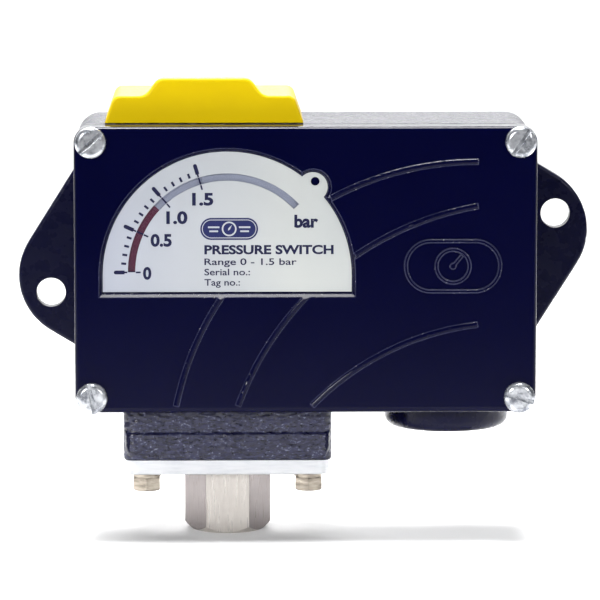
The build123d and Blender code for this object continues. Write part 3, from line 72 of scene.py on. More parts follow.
# ---- Material building blocks --------------------------------------------------------------
class Finish:
    """One procedural material: a Principled shader and the textures that feed it."""

    def __init__(self, name, **settings):
        self.material = bpy.data.materials.new(name)
        self.material.use_nodes = True
        self.tree = self.material.node_tree
        self.shader = self.tree.nodes["Principled BSDF"]
        for socket, value in settings.items():
            self.shader.inputs[socket.replace("_", " ")].default_value = value
        self.place = self.node("ShaderNodeTexCoord").outputs["Object"]
        self.normal = None

    def node(self, kind, sockets=None, **properties):
        """New node with its properties set and its inputs linked or set."""
        made = self.tree.nodes.new(kind)
        for key, value in properties.items():
            setattr(made, key, value)
        for socket, value in (sockets or {}).items():
            self.feed(value, made.inputs[socket])
        return made

    def feed(self, value, socket):
        """Link an output to a socket, or set the socket's own value."""
        if isinstance(value, bpy.types.NodeSocket):
            self.tree.links.new(value, socket)
        else:
            socket.default_value = value

    def grain(self, size, detail, stretch=(1, 1, 1), distortion=0.0):
        """Noise whose features are about a size in metres, drawn out along some axes."""
        mapping = self.node("ShaderNodeMapping", {"Vector": self.place, "Scale": stretch})
        made = self.node("ShaderNodeTexNoise", {"Vector": mapping.outputs["Vector"]})
        made.inputs["Scale"].default_value = 1 / size
        made.inputs["Detail"].default_value = detail
        made.inputs["Distortion"].default_value = distortion
        return made.outputs["Fac"]

    def spread(self, value, low, high, to_low, to_high):
        """Value moved from one range to another, clamped."""
        made = self.node("ShaderNodeMapRange", {"Value": value})
        limits = {"From Min": low, "From Max": high, "To Min": to_low, "To Max": to_high}
        for socket, number in limits.items():
            made.inputs[socket].default_value = number
        return made.outputs["Result"]

    def times(self, first, second):
        """Product of two values."""
        return self.node("ShaderNodeMath", {0: first, 1: second}, operation="MULTIPLY").outputs["Value"]

    def blend(self, share, first, second):
        """Colour between two colours."""
        made = self.node("ShaderNodeMix", {0: share, 6: first, 7: second}, data_type="RGBA")
        return made.outputs[2]

    def colour(self, value):
        self.feed(value, self.shader.inputs["Base Color"])
        return self

    def roughness(self, texture, low, high):
        """Roughness that follows a texture between two values."""
        self.feed(self.spread(texture, 0.3, 0.7, low, high), self.shader.inputs["Roughness"])
        return self

    def soften_edges(self, radius):
        """Round sharp edges in the shading, by a radius."""
        self.normal = self.node("ShaderNodeBevel", {"Radius": radius}, samples=4).outputs["Normal"]
        return self

    def edges(self, radius):
        """1 on sharp edges, 0 on flat areas."""
        bevel = self.node("ShaderNodeBevel", {"Radius": radius}, samples=4).outputs["Normal"]
        flat = self.node("ShaderNodeNewGeometry").outputs["Normal"]
        alike = self.node("ShaderNodeVectorMath", {0: bevel, 1: flat}, operation="DOT_PRODUCT")
        return self.spread(alike.outputs["Value"], 0.995, 0.9, 0.0, 1.0)

    def bump(self, texture, depth, strength=1.0):
        """Relief of a depth in metres, on top of any relief so far."""
        sockets = {"Height": texture, "Distance": depth, "Strength": strength}
        if self.normal is not None:
            sockets["Normal"] = self.normal
        self.normal = self.node("ShaderNodeBump", sockets).outputs["Normal"]
        self.feed(self.normal, self.shader.inputs["Normal"])
        return self


def rgb(red, green, blue):
    """Linear colour of an sRGB colour given as 0 to 255."""
    def linear(value):
        share = value / 255
        return share / 12.92 if share <= 0.04045 else ((share + 0.055) / 1.055) ** 2.4
    return (linear(red), linear(green), linear(blue), 1.0)


# ---- Materials -----------------------------------------------------------------------------
NAVY = rgb(0, 1, 32)
NAVY_PALE = rgb(3, 4, 38)
# Pale navy of the painted highlight along the cover's edges and ribs.
NAVY_EDGE_HIGHLIGHT = rgb(74, 76, 104)
CHIP = rgb(176, 177, 182)
EVEN = (1, 1, 1)


def painted_cover():
    """Glossy stoved enamel, almost flat, with a trace of orange peel, bare chips on its edges and a painted
    highlight along its edges and ribs.
    """
    finish = Finish("painted_navy", Specular_IOR_Level=0.12)
    cloud = finish.grain(0.05, 2.0)
    fine = finish.grain(0.0016, 2.0)
    speck = finish.spread(finish.grain(0.0009, 2.0), 0.66, 0.7, 0.0, 0.8)
    rim = finish.edges(0.0005)
    paint = finish.blend(cloud, NAVY, NAVY_PALE)
    # Painted highlight: a pale navy laid patchily along the edges and ribs, standing in for the light they
    # catch.
    edge_highlight_patches = finish.spread(finish.grain(0.02, 2.0), 0.3, 0.7, 0.5, 1.0)
    paint_with_edge_highlight = finish.blend(finish.times(rim, edge_highlight_patches), paint, NAVY_EDGE_HIGHLIGHT)
    finish.colour(finish.blend(finish.times(speck, rim), paint_with_edge_highlight, CHIP))
    finish.roughness(cloud, 0.08, 0.13)
    finish.soften_edges(0.0003)
    return finish.bump(fine, 0.00001, 0.5).bump(cloud, 0.0001, 0.3)


def painted_casting():
    """The same enamel over a sand casting: lumpy, pitted, chipped along its rims."""
    finish = Finish("painted_casting", Specular_IOR_Level=0.18)
    cloud = finish.grain(0.03, 2.0)
    lumps = finish.grain(0.0035, 3.0)
    pits = finish.grain(0.0011, 3.0)
    speck = finish.spread(finish.grain(0.0012, 3.0), 0.66, 0.7, 0.0, 0.8)
    paint = finish.blend(cloud, NAVY, NAVY_PALE)
    finish.colour(finish.blend(finish.times(speck, finish.edges(0.0006)), paint, CHIP))
    finish.roughness(lumps, 0.2, 0.34)
    finish.soften_edges(0.0005)
    return finish.bump(lumps, 0.00012, 0.5).bump(pits, 0.00004, 0.5)


def rough_paint():
    """Enamel on the coarse skin of the neck, with painted shade in the troughs of its flakes and painted
    glints on their crests.
    """
    finish = Finish("painted_rough", Coat_Weight=0.1, Coat_Roughness=0.12, Specular_IOR_Level=0.45)
    flakes = finish.grain(0.0019, 4.0, (1, 1, 2.4), 0.8)
    pits = finish.grain(0.0008, 3.0, (1, 1, 1.8))
    # Painted shade: the same flakes that make the relief darken the paint in their troughs and lighten it on
    # their crests.
    paint = finish.blend(finish.spread(flakes, 0.4, 0.62, 0.0, 1.0), rgb(3, 4, 34), rgb(28, 30, 62))
    # Painted glints: pale specks on the highest crests.
    raised = finish.spread(flakes, 0.52, 0.6, 0.0, 1.0)
    glint = finish.times(raised, finish.spread(pits, 0.56, 0.64, 0.0, 0.7))
    finish.colour(finish.blend(glint, paint, rgb(112, 115, 136)))
    finish.roughness(flakes, 0.24, 0.42)
    return finish.bump(flakes, 0.0003, 0.6).bump(pits, 0.00008, 0.6)


def metal(name, colour, other, rough, grain_size, stretch, depth, metallic=1.0, edge=0.0002):
    """Bare metal with drawn-out grain, uneven tone and softened edges."""
    finish = Finish(name, Metallic=metallic)
    lines = finish.grain(grain_size, 4.0, stretch)
    cloud = finish.grain(0.004, 3.0)
    drawn = finish.spread(lines, 0.35, 0.65, 0.0, 1.0)
    mixed = finish.times(drawn, finish.spread(cloud, 0.3, 0.7, 0.5, 1.0))
    finish.colour(finish.blend(mixed, colour, other))
    finish.roughness(lines, *rough)
    finish.soften_edges(edge)
    return finish.bump(lines, depth, 0.6)


def port_stainless():
    """Bright-drawn hexagon bar: fine lengthwise grain, with painted shade making its side flats darker than
    the front and back.
    """
    finish = Finish("port_stainless", Metallic=0.55)
    lines = finish.grain(0.0005, 4.0, (1, 1, 0.05))
    # Painted shade: flats that face along X take a darker copy of the steel's colour, as if less lit.
    facing = finish.node("ShaderNodeNewGeometry").outputs["Normal"]
    sideways = finish.node("ShaderNodeSeparateXYZ", {"Vector": facing}).outputs["X"]
    painted_side_shade = finish.spread(finish.times(sideways, sideways), 0.3, 0.6, 0.0, 1.0)
    bright = finish.blend(lines, rgb(200, 195, 189), rgb(176, 170, 165))
    side_shade_colour = finish.blend(lines, rgb(146, 137, 134), rgb(122, 115, 116))
    finish.colour(finish.blend(painted_side_shade, bright, side_shade_colour))
    finish.roughness(lines, 0.25, 0.4)
    finish.soften_edges(0.0003)
    return finish.bump(lines, 0.00001, 0.6)


def dial_silver():
    """Silvery printed sheet: a fine grain over slow random clouds of tone, and a painted reflection that goes
    from bluish grey on the left to a paler grey on the right.
    """
    finish = Finish("dial_silver", Metallic=0.35)
    slow = finish.grain(0.035, 1.0)
    fine = finish.grain(0.0005, 2.0)
    # Painted reflection: the tone shifts across the dial along X, standing in for the surroundings mirrored
    # in the sheet.
    across = finish.node("ShaderNodeSeparateXYZ", {"Vector": finish.place}).outputs["X"]
    painted_reflection_share = finish.spread(across, DIAL_X - 0.036, DIAL_X + 0.02, 0.0, 1.0)
    tone = finish.blend(painted_reflection_share, rgb(174, 178, 192), rgb(195, 198, 196))
    finish.colour(finish.blend(finish.spread(slow, 0.3, 0.8, 0.0, 0.5), tone, rgb(172, 177, 182)))
    finish.roughness(fine, 0.34, 0.44)
    return finish.bump(fine, 0.000008, 0.4)


def clear_pane():
    """Thin clear plastic, slightly smeared, that hardly tints what lies behind it."""
    finish = Finish("clear_pane", Alpha=0.12, IOR=1.49)
    smear = finish.grain(0.012, 2.0, (1, 1, 2))
    finish.colour(finish.blend(smear, rgb(70, 76, 92), rgb(60, 66, 82)))
    finish.roughness(smear, 0.02, 0.06)
    return finish.bump(smear, 0.00001, 0.3)


def plastic(name, colour, other, rough, grain_size=0.0007, depth=0.00002, level=0.25):
    """Moulded plastic or rubber with a matt grain and slight clouds."""
    finish = Finish(name, Specular_IOR_Level=level)
    cloud = finish.grain(0.012, 2.0)
    fine = finish.grain(grain_size, 3.0)
    finish.colour(finish.blend(cloud, colour, other))
    finish.roughness(fine, *rough)
    finish.soften_edges(0.0003)
    return finish.bump(fine, depth, 0.5).bump(cloud, 0.00006, 0.2)


def ink(name, colour, other):
    """Screen-printed ink with a little mottle."""
    finish = Finish(name, Specular_IOR_Level=0.2)
    mottle = finish.grain(0.0009, 3.0)
    finish.colour(finish.blend(mottle, colour, other))
    finish.roughness(mottle, 0.35, 0.55)
    return finish.bump(mottle, 0.000004, 0.3)


finishes = {
    "painted_navy": painted_cover(),
    "painted_casting": painted_casting(),
    "painted_rough": rough_paint(),
    "seal_rubber": plastic("seal_rubber", rgb(26, 27, 30), rgb(40, 41, 44), (0.6, 0.8)),
    "screw_steel": metal(
        "screw_steel", rgb(226, 229, 234), rgb(84, 88, 100),
        rough=(0.14, 0.3), grain_size=0.002, stretch=EVEN, depth=0.0001, metallic=0.7,
    ),
    "dial_silver": dial_silver(),
    "clear_pane": clear_pane(),
    "disc_grey": plastic("disc_grey", rgb(180, 186, 208), rgb(170, 177, 200), (0.4, 0.55)),
    "cap_yellow": plastic("cap_yellow", rgb(229, 198, 0), rgb(223, 190, 0), (0.3, 0.42), level=0.12),
    "flange_aluminium": metal(
        "flange_aluminium", rgb(203, 204, 207), rgb(188, 190, 195),
        rough=(0.3, 0.45), grain_size=0.0008, stretch=(0.12, 1, 1), depth=0.00002, metallic=0.45, edge=0.0003,
    ),
    "bolt_steel": metal(
        "bolt_steel", rgb(186, 176, 162), rgb(92, 84, 76),
        rough=(0.25, 0.5), grain_size=0.0016, stretch=(0.3, 0.3, 1), depth=0.00004, metallic=0.8,
    ),
    "port_stainless": port_stainless(),
    "shaft_steel": metal(
        "shaft_steel", rgb(205, 206, 208), rgb(150, 152, 156),
        rough=(0.18, 0.32), grain_size=0.0005, stretch=(1, 1, 0.3), depth=0.00001,
    ),
    "spring_steel": metal(
        "spring_steel", rgb(165, 166, 170), rgb(110, 112, 118),
        rough=(0.25, 0.4), grain_size=0.0005, stretch=EVEN, depth=0.00001,
    ),
    "turned_brass": metal(
        "turned_brass", rgb(214, 176, 96), rgb(170, 132, 64),
        rough=(0.22, 0.38), grain_size=0.0004, stretch=(1, 1, 6), depth=0.00001,
    ),
    "plated_sheet": metal(
        "plated_sheet", rgb(196, 200, 204), rgb(160, 164, 172),
        rough=(0.25, 0.4), grain_size=0.0008, stretch=(0.2, 1, 1), depth=0.00001,
    ),
    "switch_black": plastic("switch_black", rgb(24, 24, 27), rgb(34, 34, 38), (0.4, 0.55)),
    "plunger_red": plastic("plunger_red", rgb(186, 34, 30), rgb(164, 24, 24), (0.35, 0.5)),
    "block_grey": plastic("block_grey", rgb(206, 204, 196), rgb(188, 186, 178), (0.45, 0.6)),
    "lead_insulation": plastic("lead_insulation", rgb(30, 60, 140), rgb(24, 48, 116), (0.35, 0.5)),
    "print_navy": ink("print_navy", rgb(12, 14, 50), rgb(26, 28, 66)),
    "print_red": ink("print_red", rgb(118, 50, 76), rgb(98, 42, 66)),
    "print_blue": ink("print_blue", rgb(24, 30, 78), rgb(36, 42, 92)),
}

# The CAD nodes take the finish of their own material's name; the housing takes the casting's.
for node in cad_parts.values():
    for place in node.material_slots:
        place.material = finishes[place.material.name.split(".")[0]].material
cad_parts["housing"].material_slots[0].material = finishes["painted_casting"].material


# ---- Piece building blocks -----------------------------------------------------------------
ROUND_END_STEPS = 8


def piece(name, mesh, finish, body):
    """Object for a finished mesh, painted and riding on its body."""
    made = bpy.data.objects.new(name, mesh)
    bpy.context.scene.collection.objects.link(made)
    mesh.materials.clear()
    mesh.materials.append(finishes[finish].material)
    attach(made, body)
    return made


def prism(shape, outline, front_y, thickness):
    """Add to a bmesh a closed slab whose outline is (x, z) points and whose front is at front_y."""
    front = [shape.verts.new((x, front_y, z)) for x, z in outline]
    back = [shape.verts.new((x, front_y + thickness, z)) for x, z in outline]
    shape.faces.new(front)
    shape.faces.new(back[::-1])
    count = len(outline)
    for i in range(count):
        shape.faces.new((front[i], back[i], back[(i + 1) % count], front[(i + 1) % count]))


def mesh_of(name, shape):
    """Mesh of a bmesh, with its faces looking outwards."""
    bmesh.ops.recalc_face_normals(shape, faces=shape.faces)
    mesh = bpy.data.meshes.new(name)
    shape.to_mesh(mesh)
    shape.free()
    return mesh


def dial_point(radius, angle):
    """Point of the dial in metres, from a radius in millimetres and an angle in degrees."""
    return (DIAL_X + radius * MM * cos(radians(angle)), DIAL_Z + radius * MM * sin(radians(angle)))


def band(radius_in, radius_out, start, end, step=1.5):
    """Outline of a flat band between two arcs of the dial."""
    count = max(1, round(abs(end - start) / step))
    angles = [start + (end - start) * i / count for i in range(count + 1)]
    outer = [dial_point(radius_out, angle) for angle in angles]
    inner = [dial_point(radius_in, angle) for angle in reversed(angles)]
    return outer + inner


def stroke(angle, radius_in, radius_out, width, round_end=False):
    """Outline of a radial stroke of the scale, its outer end square or round."""
    along = Vector((cos(radians(angle)), sin(radians(angle))))
    across = Vector((-along.y, along.x)) * width / 2
    centre = Vector((DIAL_X, DIAL_Z))
    inner = centre + along * radius_in * MM
    outer = centre + along * radius_out * MM
    points = [inner + across * MM, inner - across * MM]
    if not round_end:
        return points + [outer - across * MM, outer + across * MM]
    turn = outer - along * width / 2 * MM
    for i in range(ROUND_END_STEPS + 1):
        swing = -pi / 2 + pi * i / ROUND_END_STEPS
        points.append(turn + (along * cos(swing) + across * 2 / width * sin(swing)) * width / 2 * MM)
    return points


# ---- Scale of the dial: radii and widths in millimetres, angles in degrees -----------------
INK_T = 0.00004
SCALE_ZERO = 180.0
STEP_DEG = 24.45
STEPS = 3
MAJOR_ANGLES = [SCALE_ZERO - STEP_DEG * i for i in range(STEPS + 1)]
MINORS_PER_STEP = 5
SLOT_IN = 27.4
SLOT_OUT = 29.6
SLOT_CLEAR = 0.15
THIN_W = 0.5
THIN_IN = 25.8
THIN_OUT = 30.9
BOLD_W = 1.15
BOLD_IN = 30.6
BOLD_OUT = 33.8
MINOR_W = 0.68
MINOR_CLEAR = 0.6
MINOR_OUT = 31.7
RED_IN = 26.7
RED_OUT = 30.4
RED_START = 137.5
RED_END = 224.0


def build_scale():
    """Strokes of the scale: long ones each 0.5 bar, crossing the slot, and short ones between."""
    on_plate = bmesh.new()
    on_pane = bmesh.new()
    front = PLATE_Y - INK_T
    for angle in MAJOR_ANGLES:
        prism(on_plate, stroke(angle, THIN_IN, SLOT_IN - SLOT_CLEAR, THIN_W), front, INK_T)
        prism(on_plate, stroke(angle, SLOT_OUT + SLOT_CLEAR, THIN_OUT, THIN_W), front, INK_T)
        prism(on_plate, stroke(angle, BOLD_IN, BOLD_OUT, BOLD_W, round_end=True), front, INK_T)
        prism(on_pane, stroke(angle, SLOT_IN, SLOT_OUT, THIN_W), PANE_Y - INK_T, INK_T)
    for i in range(STEPS * MINORS_PER_STEP):
        if i % MINORS_PER_STEP:
            angle = SCALE_ZERO - STEP_DEG * i / MINORS_PER_STEP
            prism(on_plate, stroke(angle, SLOT_OUT + MINOR_CLEAR, MINOR_OUT, MINOR_W), front, INK_T)
    piece("scale_strokes", mesh_of("scale_strokes", on_plate), "print_navy", "casing")
    piece("pane_strokes", mesh_of("pane_strokes", on_pane), "print_navy", "casing")


def build_red_sector():
    """Red sector printed on the turning disc, seen through the slot."""
    shape = bmesh.new()
    prism(shape, band(RED_IN, RED_OUT, RED_START, RED_END), DISC_Y - INK_T, INK_T)
    piece("red_sector", mesh_of("red_sector", shape), "print_red", "indicator")


# ---- Lettering -----------------------------------------------------------------------------
def letters_mesh(name, words, weight):
    """Mesh of a line of lettering at size 1, flat in XY with a unit of thickness."""
    curve = bpy.data.curves.new(name, "FONT")
    curve.body = words
    curve.offset = weight
    curve.extrude = 0.5
    curve.resolution_u = 4
    holder = bpy.data.objects.new(name, curve)
    bpy.context.scene.collection.objects.link(holder)
    bpy.context.view_layer.update()
    mesh = bpy.data.meshes.new_from_object(holder.evaluated_get(bpy.context.evaluated_depsgraph_get()))
    bpy.data.objects.remove(holder)
    return mesh


def extent(mesh, axis):
    """Least and greatest coordinate of a mesh along an axis."""
    values = [vertex.co[axis] for vertex in mesh.vertices]
    return min(values), max(values)


CAP_HEIGHT = extent(letters_mesh("measure", "H", 0.0), 1)[1]


def lettering(name, words, left, low, height, width, weight):
    """A line of printed lettering: its left edge, base line, capital height and width in mm."""
    mesh = letters_mesh(name, words, weight)
    start, end = extent(mesh, 0)
    across = width * MM / (end - start)
    upward = height * MM / CAP_HEIGHT
    for vertex in mesh.vertices:
        x, z, out = vertex.co
        vertex.co = (
            left * MM + (x - start) * across,
            PLATE_Y - INK_T / 2 - out * INK_T,
            low * MM + z * upward,
        )
    return piece(name, mesh, "print_navy", "casing")


# Weights of the lettering, as shares of its size; heights, widths and places in millimetres.
BOLD = 0.04
SEMIBOLD = 0.035
MEDIUM = 0.012
NUMBER_H = 3.4
NUMBER_W = 6.3
UNIT_H = 3.5
NAME_H = 2.5
CAPTION_H = 1.9
CAPTION_LEFT = -30.2


def build_lettering():
    """Numbers, unit and plain captions of the dial."""
    lettering("number_0", "0", -48.5, -2.6, NUMBER_H, 2.5, BOLD)
    lettering("number_0.5", "0.5", -46.2, 7.3, NUMBER_H, NUMBER_W, BOLD)
    lettering("number_1.0", "1.0", -41.5, 14.1, NUMBER_H, NUMBER_W, BOLD)
    lettering("number_1.5", "1.5", -33.8, 19.6, NUMBER_H, NUMBER_W, BOLD)
    lettering("unit_bar", "bar", -3.4, 12.9, UNIT_H, 7.1, BOLD)
    lettering("caption_name", "PRESSURE SWITCH", CAPTION_LEFT, 4.9, NAME_H, 38.5, SEMIBOLD)
    lettering("caption_range", "Range 0 - 1.5 bar", CAPTION_LEFT, 1.6, CAPTION_H, 27.5, MEDIUM)
    lettering("caption_serial", "Serial no.:", CAPTION_LEFT, -1.5, CAPTION_H, 13.6, MEDIUM)
    lettering("caption_tag", "Tag no.:", CAPTION_LEFT, -4.6, CAPTION_H, 10.6, MEDIUM)


def rounded(centre_x, centre_z, half_w, half_h, count=64):
    """Outline of a bar with round ends, in metres; a disc where the two halves are equal."""
    turns = [2 * pi * (i + 0.5) / count for i in range(count)]
    straight = half_w - half_h
    points = []
    for turn in turns:
        side = straight if cos(turn) > 0 else -straight
        points.append((centre_x + side + half_h * cos(turn), centre_z + half_h * sin(turn)))
    return points


def ring(shape, centre_x, centre_z, half_w, half_h, line, front_y, thickness, count=64):
    """Add to a bmesh a round-ended ring: one four-sided slab for each of its steps."""
    outer = rounded(centre_x, centre_z, half_w, half_h, count)
    inner = rounded(centre_x, centre_z, half_w - line, half_h - line, count)
    corners = []
    for y in (front_y, front_y + thickness):
        corners.append([shape.verts.new((x, y, z)) for x, z in outer])
        corners.append([shape.verts.new((x, y, z)) for x, z in inner])
    front_outer, front_inner, back_outer, back_inner = corners
    for i in range(count):
        j = (i + 1) % count
        shape.faces.new((front_outer[i], front_outer[j], front_inner[j], front_inner[i]))
        shape.faces.new((back_outer[i], back_inner[i], back_inner[j], back_outer[j]))
        shape.faces.new((front_outer[i], back_outer[i], back_outer[j], front_outer[j]))
        shape.faces.new((front_inner[i], front_inner[j], back_inner[j], back_inner[i]))


BADGE_X = -22.8 * MM
BADGE_Z = 12.4 * MM
BADGE_HALF_W = 8.6 * MM
BADGE_HALF_H = 3.3 * MM
BADGE_MARGIN = 0.5 * MM
BADGE_LINE = 0.22 * MM
GAUGE_R = 2.2 * MM
GAUGE_LINE = 0.45 * MM
NEEDLE_DEG = 55
NEEDLE_LENGTH = 1.5 * MM
BAR_X = 4.6 * MM
BAR_HALF_H = 0.25 * MM
BARS = ((3.4, 0.5), (2.6, -0.7))  # length, and height above the badge's middle, in millimetres


def build_badge():
    """Plain round-ended badge with a gauge pictogram between short bars, in the middle of the dial."""
    front = PLATE_Y - INK_T
    ground = bmesh.new()
    prism(ground, rounded(BADGE_X, BADGE_Z, BADGE_HALF_W, BADGE_HALF_H), front, INK_T)
    piece("badge_ground", mesh_of("badge_ground", ground), "print_blue", "casing")
    mark = bmesh.new()
    top = front - INK_T
    line_w, line_h = BADGE_HALF_W - BADGE_MARGIN, BADGE_HALF_H - BADGE_MARGIN
    ring(mark, BADGE_X, BADGE_Z, line_w, line_h, BADGE_LINE, top, INK_T)
    ring(mark, BADGE_X, BADGE_Z, GAUGE_R, GAUGE_R, GAUGE_LINE, top, INK_T)
    for side in (-1, 1):
        for length, height in BARS:
            x = BADGE_X + side * BAR_X
            z = BADGE_Z + height * MM
            half_w = length / 2 * MM
            outline = [
                (x - half_w, z - BAR_HALF_H),
                (x + half_w, z - BAR_HALF_H),
                (x + half_w, z + BAR_HALF_H),
                (x - half_w, z + BAR_HALF_H),
            ]
            prism(mark, outline, top, INK_T)
    needle = radians(NEEDLE_DEG)
    tip = Vector((cos(needle), sin(needle))) * NEEDLE_LENGTH
    wing = Vector((-tip.y, tip.x)) * 0.2
    centre = Vector((BADGE_X, BADGE_Z))
    prism(mark, [centre - wing, centre + tip, centre + wing, centre - tip * 0.4], top, INK_T)
    piece("badge_mark", mesh_of("badge_mark", mark), "dial_silver", "casing")


# ---- Rough-cast skin of the neck -----------------------------------------------------------
SKIN_STEP = 0.36 * MM
SKIN_RISE = 0.42 * MM
SKIN_RIPPLE = 0.05 * MM
SKIN_CLEAR = 0.05 * MM
SKIN_INSET = 1.0 * MM
END_GAP = 0.1 * MM
CORNER_R = 2.8 * MM
CORNER_STEP_DEG = 15
COARSE_SCALE = 640
RIPPLE_SCALE = 1700
FLAKE_FLATTEN = 2.2
BAND_CORNER = 3.9 * MM
BAND_EDGE = 0.4 * MM
BAND_LEAST = 0.3 * MM
FRONT_FACING = -0.5


def points_between(name, low, high):
    """Points of a CAD node's surface between two heights."""
    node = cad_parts[name]
    places = [node.matrix_world @ vertex.co for vertex in node.data.vertices]
    return [place for place in places if low <= place.z <= high]


def band_share(x, z, left, right, low, high):
    """1 on the raised band of the neck's front, 0 off it; its lower corners are round."""
    beside = max(left + BAND_CORNER - x, x - (right - BAND_CORNER), 0.0)
    below = max(low + BAND_CORNER - z, 0.0)
    inside = BAND_CORNER - (beside * beside + below * below) ** 0.5
    return min(max(min(inside, high - z) / BAND_EDGE + 1.0, 0.0), 1.0)


def neck_outline(left, right, front, back):
    """Points of the neck's outline seen from above, a skin step apart, with the way out at each."""
    centre = Vector(((left + right) / 2, (front + back) / 2))
    half_w, half_d = (right - left) / 2, (back - front) / 2
    path = []
    for corner_x, corner_y, start in ((1, -1, -90), (1, 1, 0), (-1, 1, 90), (-1, -1, 180)):
        middle = centre + Vector((corner_x * (half_w - CORNER_R), corner_y * (half_d - CORNER_R)))
        for i in range(90 // CORNER_STEP_DEG + 1):
            turn = radians(start + CORNER_STEP_DEG * i)
            path.append(middle + Vector((cos(turn), sin(turn))) * CORNER_R)
    loop = []
    for i, point in enumerate(path):
        following = path[(i + 1) % len(path)]
        count = max(1, round((following - point).length / SKIN_STEP))
        loop += [point.lerp(following, j / count) for j in range(count)]
    outwards = []
    for i, point in enumerate(loop):
        along = (loop[(i + 1) % len(loop)] - loop[i - 1]).normalized()
        outwards.append(Vector((along.y, -along.x)))
    return loop, outwards


def skin_rise(x, y, z):
    """Height of the casting's flakes and ripples at a place."""
    flaky = Vector((x, y, z * FLAKE_FLATTEN))
    coarse = noise.fractal(flaky * COARSE_SCALE, 0.8, 2.0, 4)
    return (0.5 + 0.5 * coarse) * SKIN_RISE + noise.noise(flaky * RIPPLE_SCALE) * SKIN_RIPPLE


def build_neck_skin():
    """Coarse casting surface round the neck: a fine closed sleeve with its outside pushed about."""
    low = NECK_FOOT_Z + END_GAP
    high = NECK_HEAD_Z - END_GAP
    foot = points_between("housing", NECK_FOOT_Z - END_GAP, NECK_FOOT_Z + END_GAP)
    left, right = min(point.x for point in foot), max(point.x for point in foot)
    front, back = min(point.y for point in foot), max(point.y for point in foot)
    proud = [
        point
        for point in points_between("housing", low, high - MM)
        if point.y < front - BAND_LEAST and left < point.x < right
    ]
    band_left, band_right = min(point.x for point in proud), max(point.x for point in proud)
    band_low, band_high = min(point.z for point in proud), max(point.z for point in proud)
    band_rise = front - min(point.y for point in proud)
    loop, outwards = neck_outline(left, right, front, back)
    count = len(loop)
    rows = round((high - low) / SKIN_STEP)
    shape = bmesh.new()
    outside = []
    for row in range(rows + 1):
        z = low + (high - low) * row / rows
        held = 0.0 if row in (0, rows) else 1.0
        line = []
        for point, outward in zip(loop, outwards):
            rise = skin_rise(point.x, point.y, z)
            moved = point + outward * (SKIN_CLEAR + held * max(rise, 0.0))
            if outward.y < FRONT_FACING:
                moved.y -= band_rise * band_share(point.x, z, band_left, band_right, band_low, band_high)
            line.append(shape.verts.new((moved.x, moved.y, z)))
        outside.append(line)
    inside = []
    for z in (low, high):
        inset = [point - outward * SKIN_INSET for point, outward in zip(loop, outwards)]
        inside.append([shape.verts.new((point.x, point.y, z)) for point in inset])
    for row in range(rows):
        for i in range(count):
            j = (i + 1) % count
            shape.faces.new((outside[row][i], outside[row][j], outside[row + 1][j], outside[row + 1][i]))
    for i in range(count):
        j = (i + 1) % count
        shape.faces.new((inside[0][i], inside[1][i], inside[1][j], inside[0][j]))
        shape.faces.new((outside[0][i], inside[0][i], inside[0][j], outside[0][j]))
        shape.faces.new((outside[rows][i], outside[rows][j], inside[1][j], inside[1][i]))
    skin = piece("neck_skin", mesh_of("neck_skin", shape), "painted_rough", "casing")
    for face in skin.data.polygons:
        face.use_smooth = True


build_scale()
build_red_sector()
build_lettering()
build_badge()
build_neck_skin()

# ---- Floor, backdrop, lights and camera ----------------------------------------------------
FLOOR_HALF = 6.0
BACKDROP_HALF = 3.0
BACKDROP_Y = 3.4
BACKDROP_TOP = 1.6
BACKDROP_LIFT = 0.01
STAGE_WHITE = (0.9, 0.9, 0.9, 1.0)
SKY_COLOUR = (0.9, 0.94, 1.0, 1.0)
SKY_STRENGTH = 0.07
LIGHT_TARGET = (0, -0.02, -0.01)
# A long lens far back keeps the switch's edges nearly parallel, as in the photo.
CAMERA_TARGET = Vector((-1.303, -24.0, -12.115)) * MM
CAMERA_AZIMUTH = radians(-1.02)
CAMERA_ELEVATION = radians(7.72)
CAMERA_DISTANCE = 1.35
CAMERA_LENS = 266.8


def stage_sheet(name, corners, colour, glow):
    """Flat sheet of the studio, with a faint mottle and perhaps a glow."""
    shape = bmesh.new()
    shape.faces.new([shape.verts.new(corner) for corner in corners])
    mesh = bpy.data.meshes.new(name)
    shape.to_mesh(mesh)
    shape.free()
    finish = Finish(name + "_finish", Roughness=0.9, Specular_IOR_Level=0.1)
    tone = finish.grain(0.4, 2.0)
    finish.colour(finish.blend(tone, colour, [min(1.0, part * 1.03) for part in colour]))
    finish.shader.inputs["Emission Color"].default_value = (1, 1, 1, 1)
    finish.shader.inputs["Emission Strength"].default_value = glow
    mesh.materials.append(finish.material)
    made = bpy.data.objects.new(name, mesh)
    bpy.context.scene.collection.objects.link(made)


def area_light(name, place, target, size_x, size_y, power, spread):
    """Soft rectangular light looking at a point: metres, watts, and a spread in degrees."""
    light = bpy.data.lights.new(name, "AREA")
    light.shape = "RECTANGLE"
    light.size = size_x
    light.size_y = size_y
    light.energy = power
    light.spread = radians(spread)
    made = bpy.data.objects.new(name, light)
    made.location = place
    made.rotation_euler = (Vector(target) - Vector(place)).to_track_quat("-Z", "Y").to_euler()
    bpy.context.scene.collection.objects.link(made)


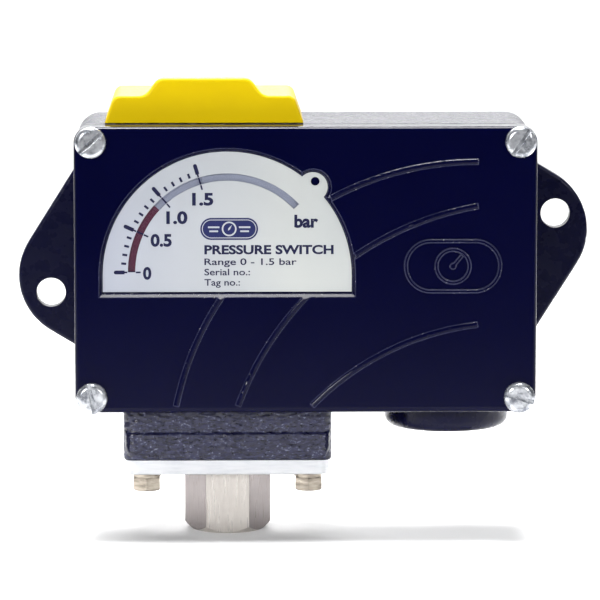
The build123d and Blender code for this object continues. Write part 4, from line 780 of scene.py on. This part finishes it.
def build_stage():
    """Pale floor, a bright backdrop far behind, and soft lights."""
    near, foot = -FLOOR_HALF, FLOOR_Z + BACKDROP_LIFT
    stage_sheet(
        "floor",
        [(near, near, FLOOR_Z), (FLOOR_HALF, near, FLOOR_Z),
         (FLOOR_HALF, FLOOR_HALF, FLOOR_Z), (near, FLOOR_HALF, FLOOR_Z)],
        STAGE_WHITE, 0.0,
    )
    stage_sheet(
        "backdrop",
        [(-BACKDROP_HALF, BACKDROP_Y, foot), (BACKDROP_HALF, BACKDROP_Y, foot),
         (BACKDROP_HALF, BACKDROP_Y, BACKDROP_TOP), (-BACKDROP_HALF, BACKDROP_Y, BACKDROP_TOP)],
        STAGE_WHITE, 1.0,
    )
    world = bpy.data.worlds.new("studio")
    world.use_nodes = True
    world.node_tree.nodes["Background"].inputs["Color"].default_value = SKY_COLOUR
    world.node_tree.nodes["Background"].inputs["Strength"].default_value = SKY_STRENGTH
    bpy.context.scene.world = world
    area_light("light_floor", (0, 1.2, 0.9), (0, 1.2, 0), 2.4, 2.8, 30, 20)
    area_light("light_under", (0, 0.9, 0.55), (0, 0.05, FLOOR_Z), 1.2, 0.2, 2, 60)
    area_light("light_left", (-1.3, -2.9, 1.0), LIGHT_TARGET, 0.6, 0.4, 0.5, 12)
    area_light("light_right", (1.4, -2.8, 0.9), LIGHT_TARGET, 0.6, 0.4, 0.27, 12)
    area_light("light_top", (-0.2, 0.5, 1.1), LIGHT_TARGET, 0.9, 0.5, 1.5, 25)


def build_camera():
    """Camera a little above the switch, looking slightly down, with a long lens."""
    level = cos(CAMERA_ELEVATION)
    back = Vector((sin(CAMERA_AZIMUTH) * level, -cos(CAMERA_AZIMUTH) * level, sin(CAMERA_ELEVATION)))
    data = bpy.data.cameras.new("camera")
    data.sensor_width = 36.0
    data.lens = CAMERA_LENS
    made = bpy.data.objects.new("camera", data)
    made.location = CAMERA_TARGET + back * CAMERA_DISTANCE
    made.rotation_euler = (-back).to_track_quat("-Z", "Y").to_euler()
    bpy.context.scene.collection.objects.link(made)
    bpy.context.scene.camera = made


build_stage()
build_camera()
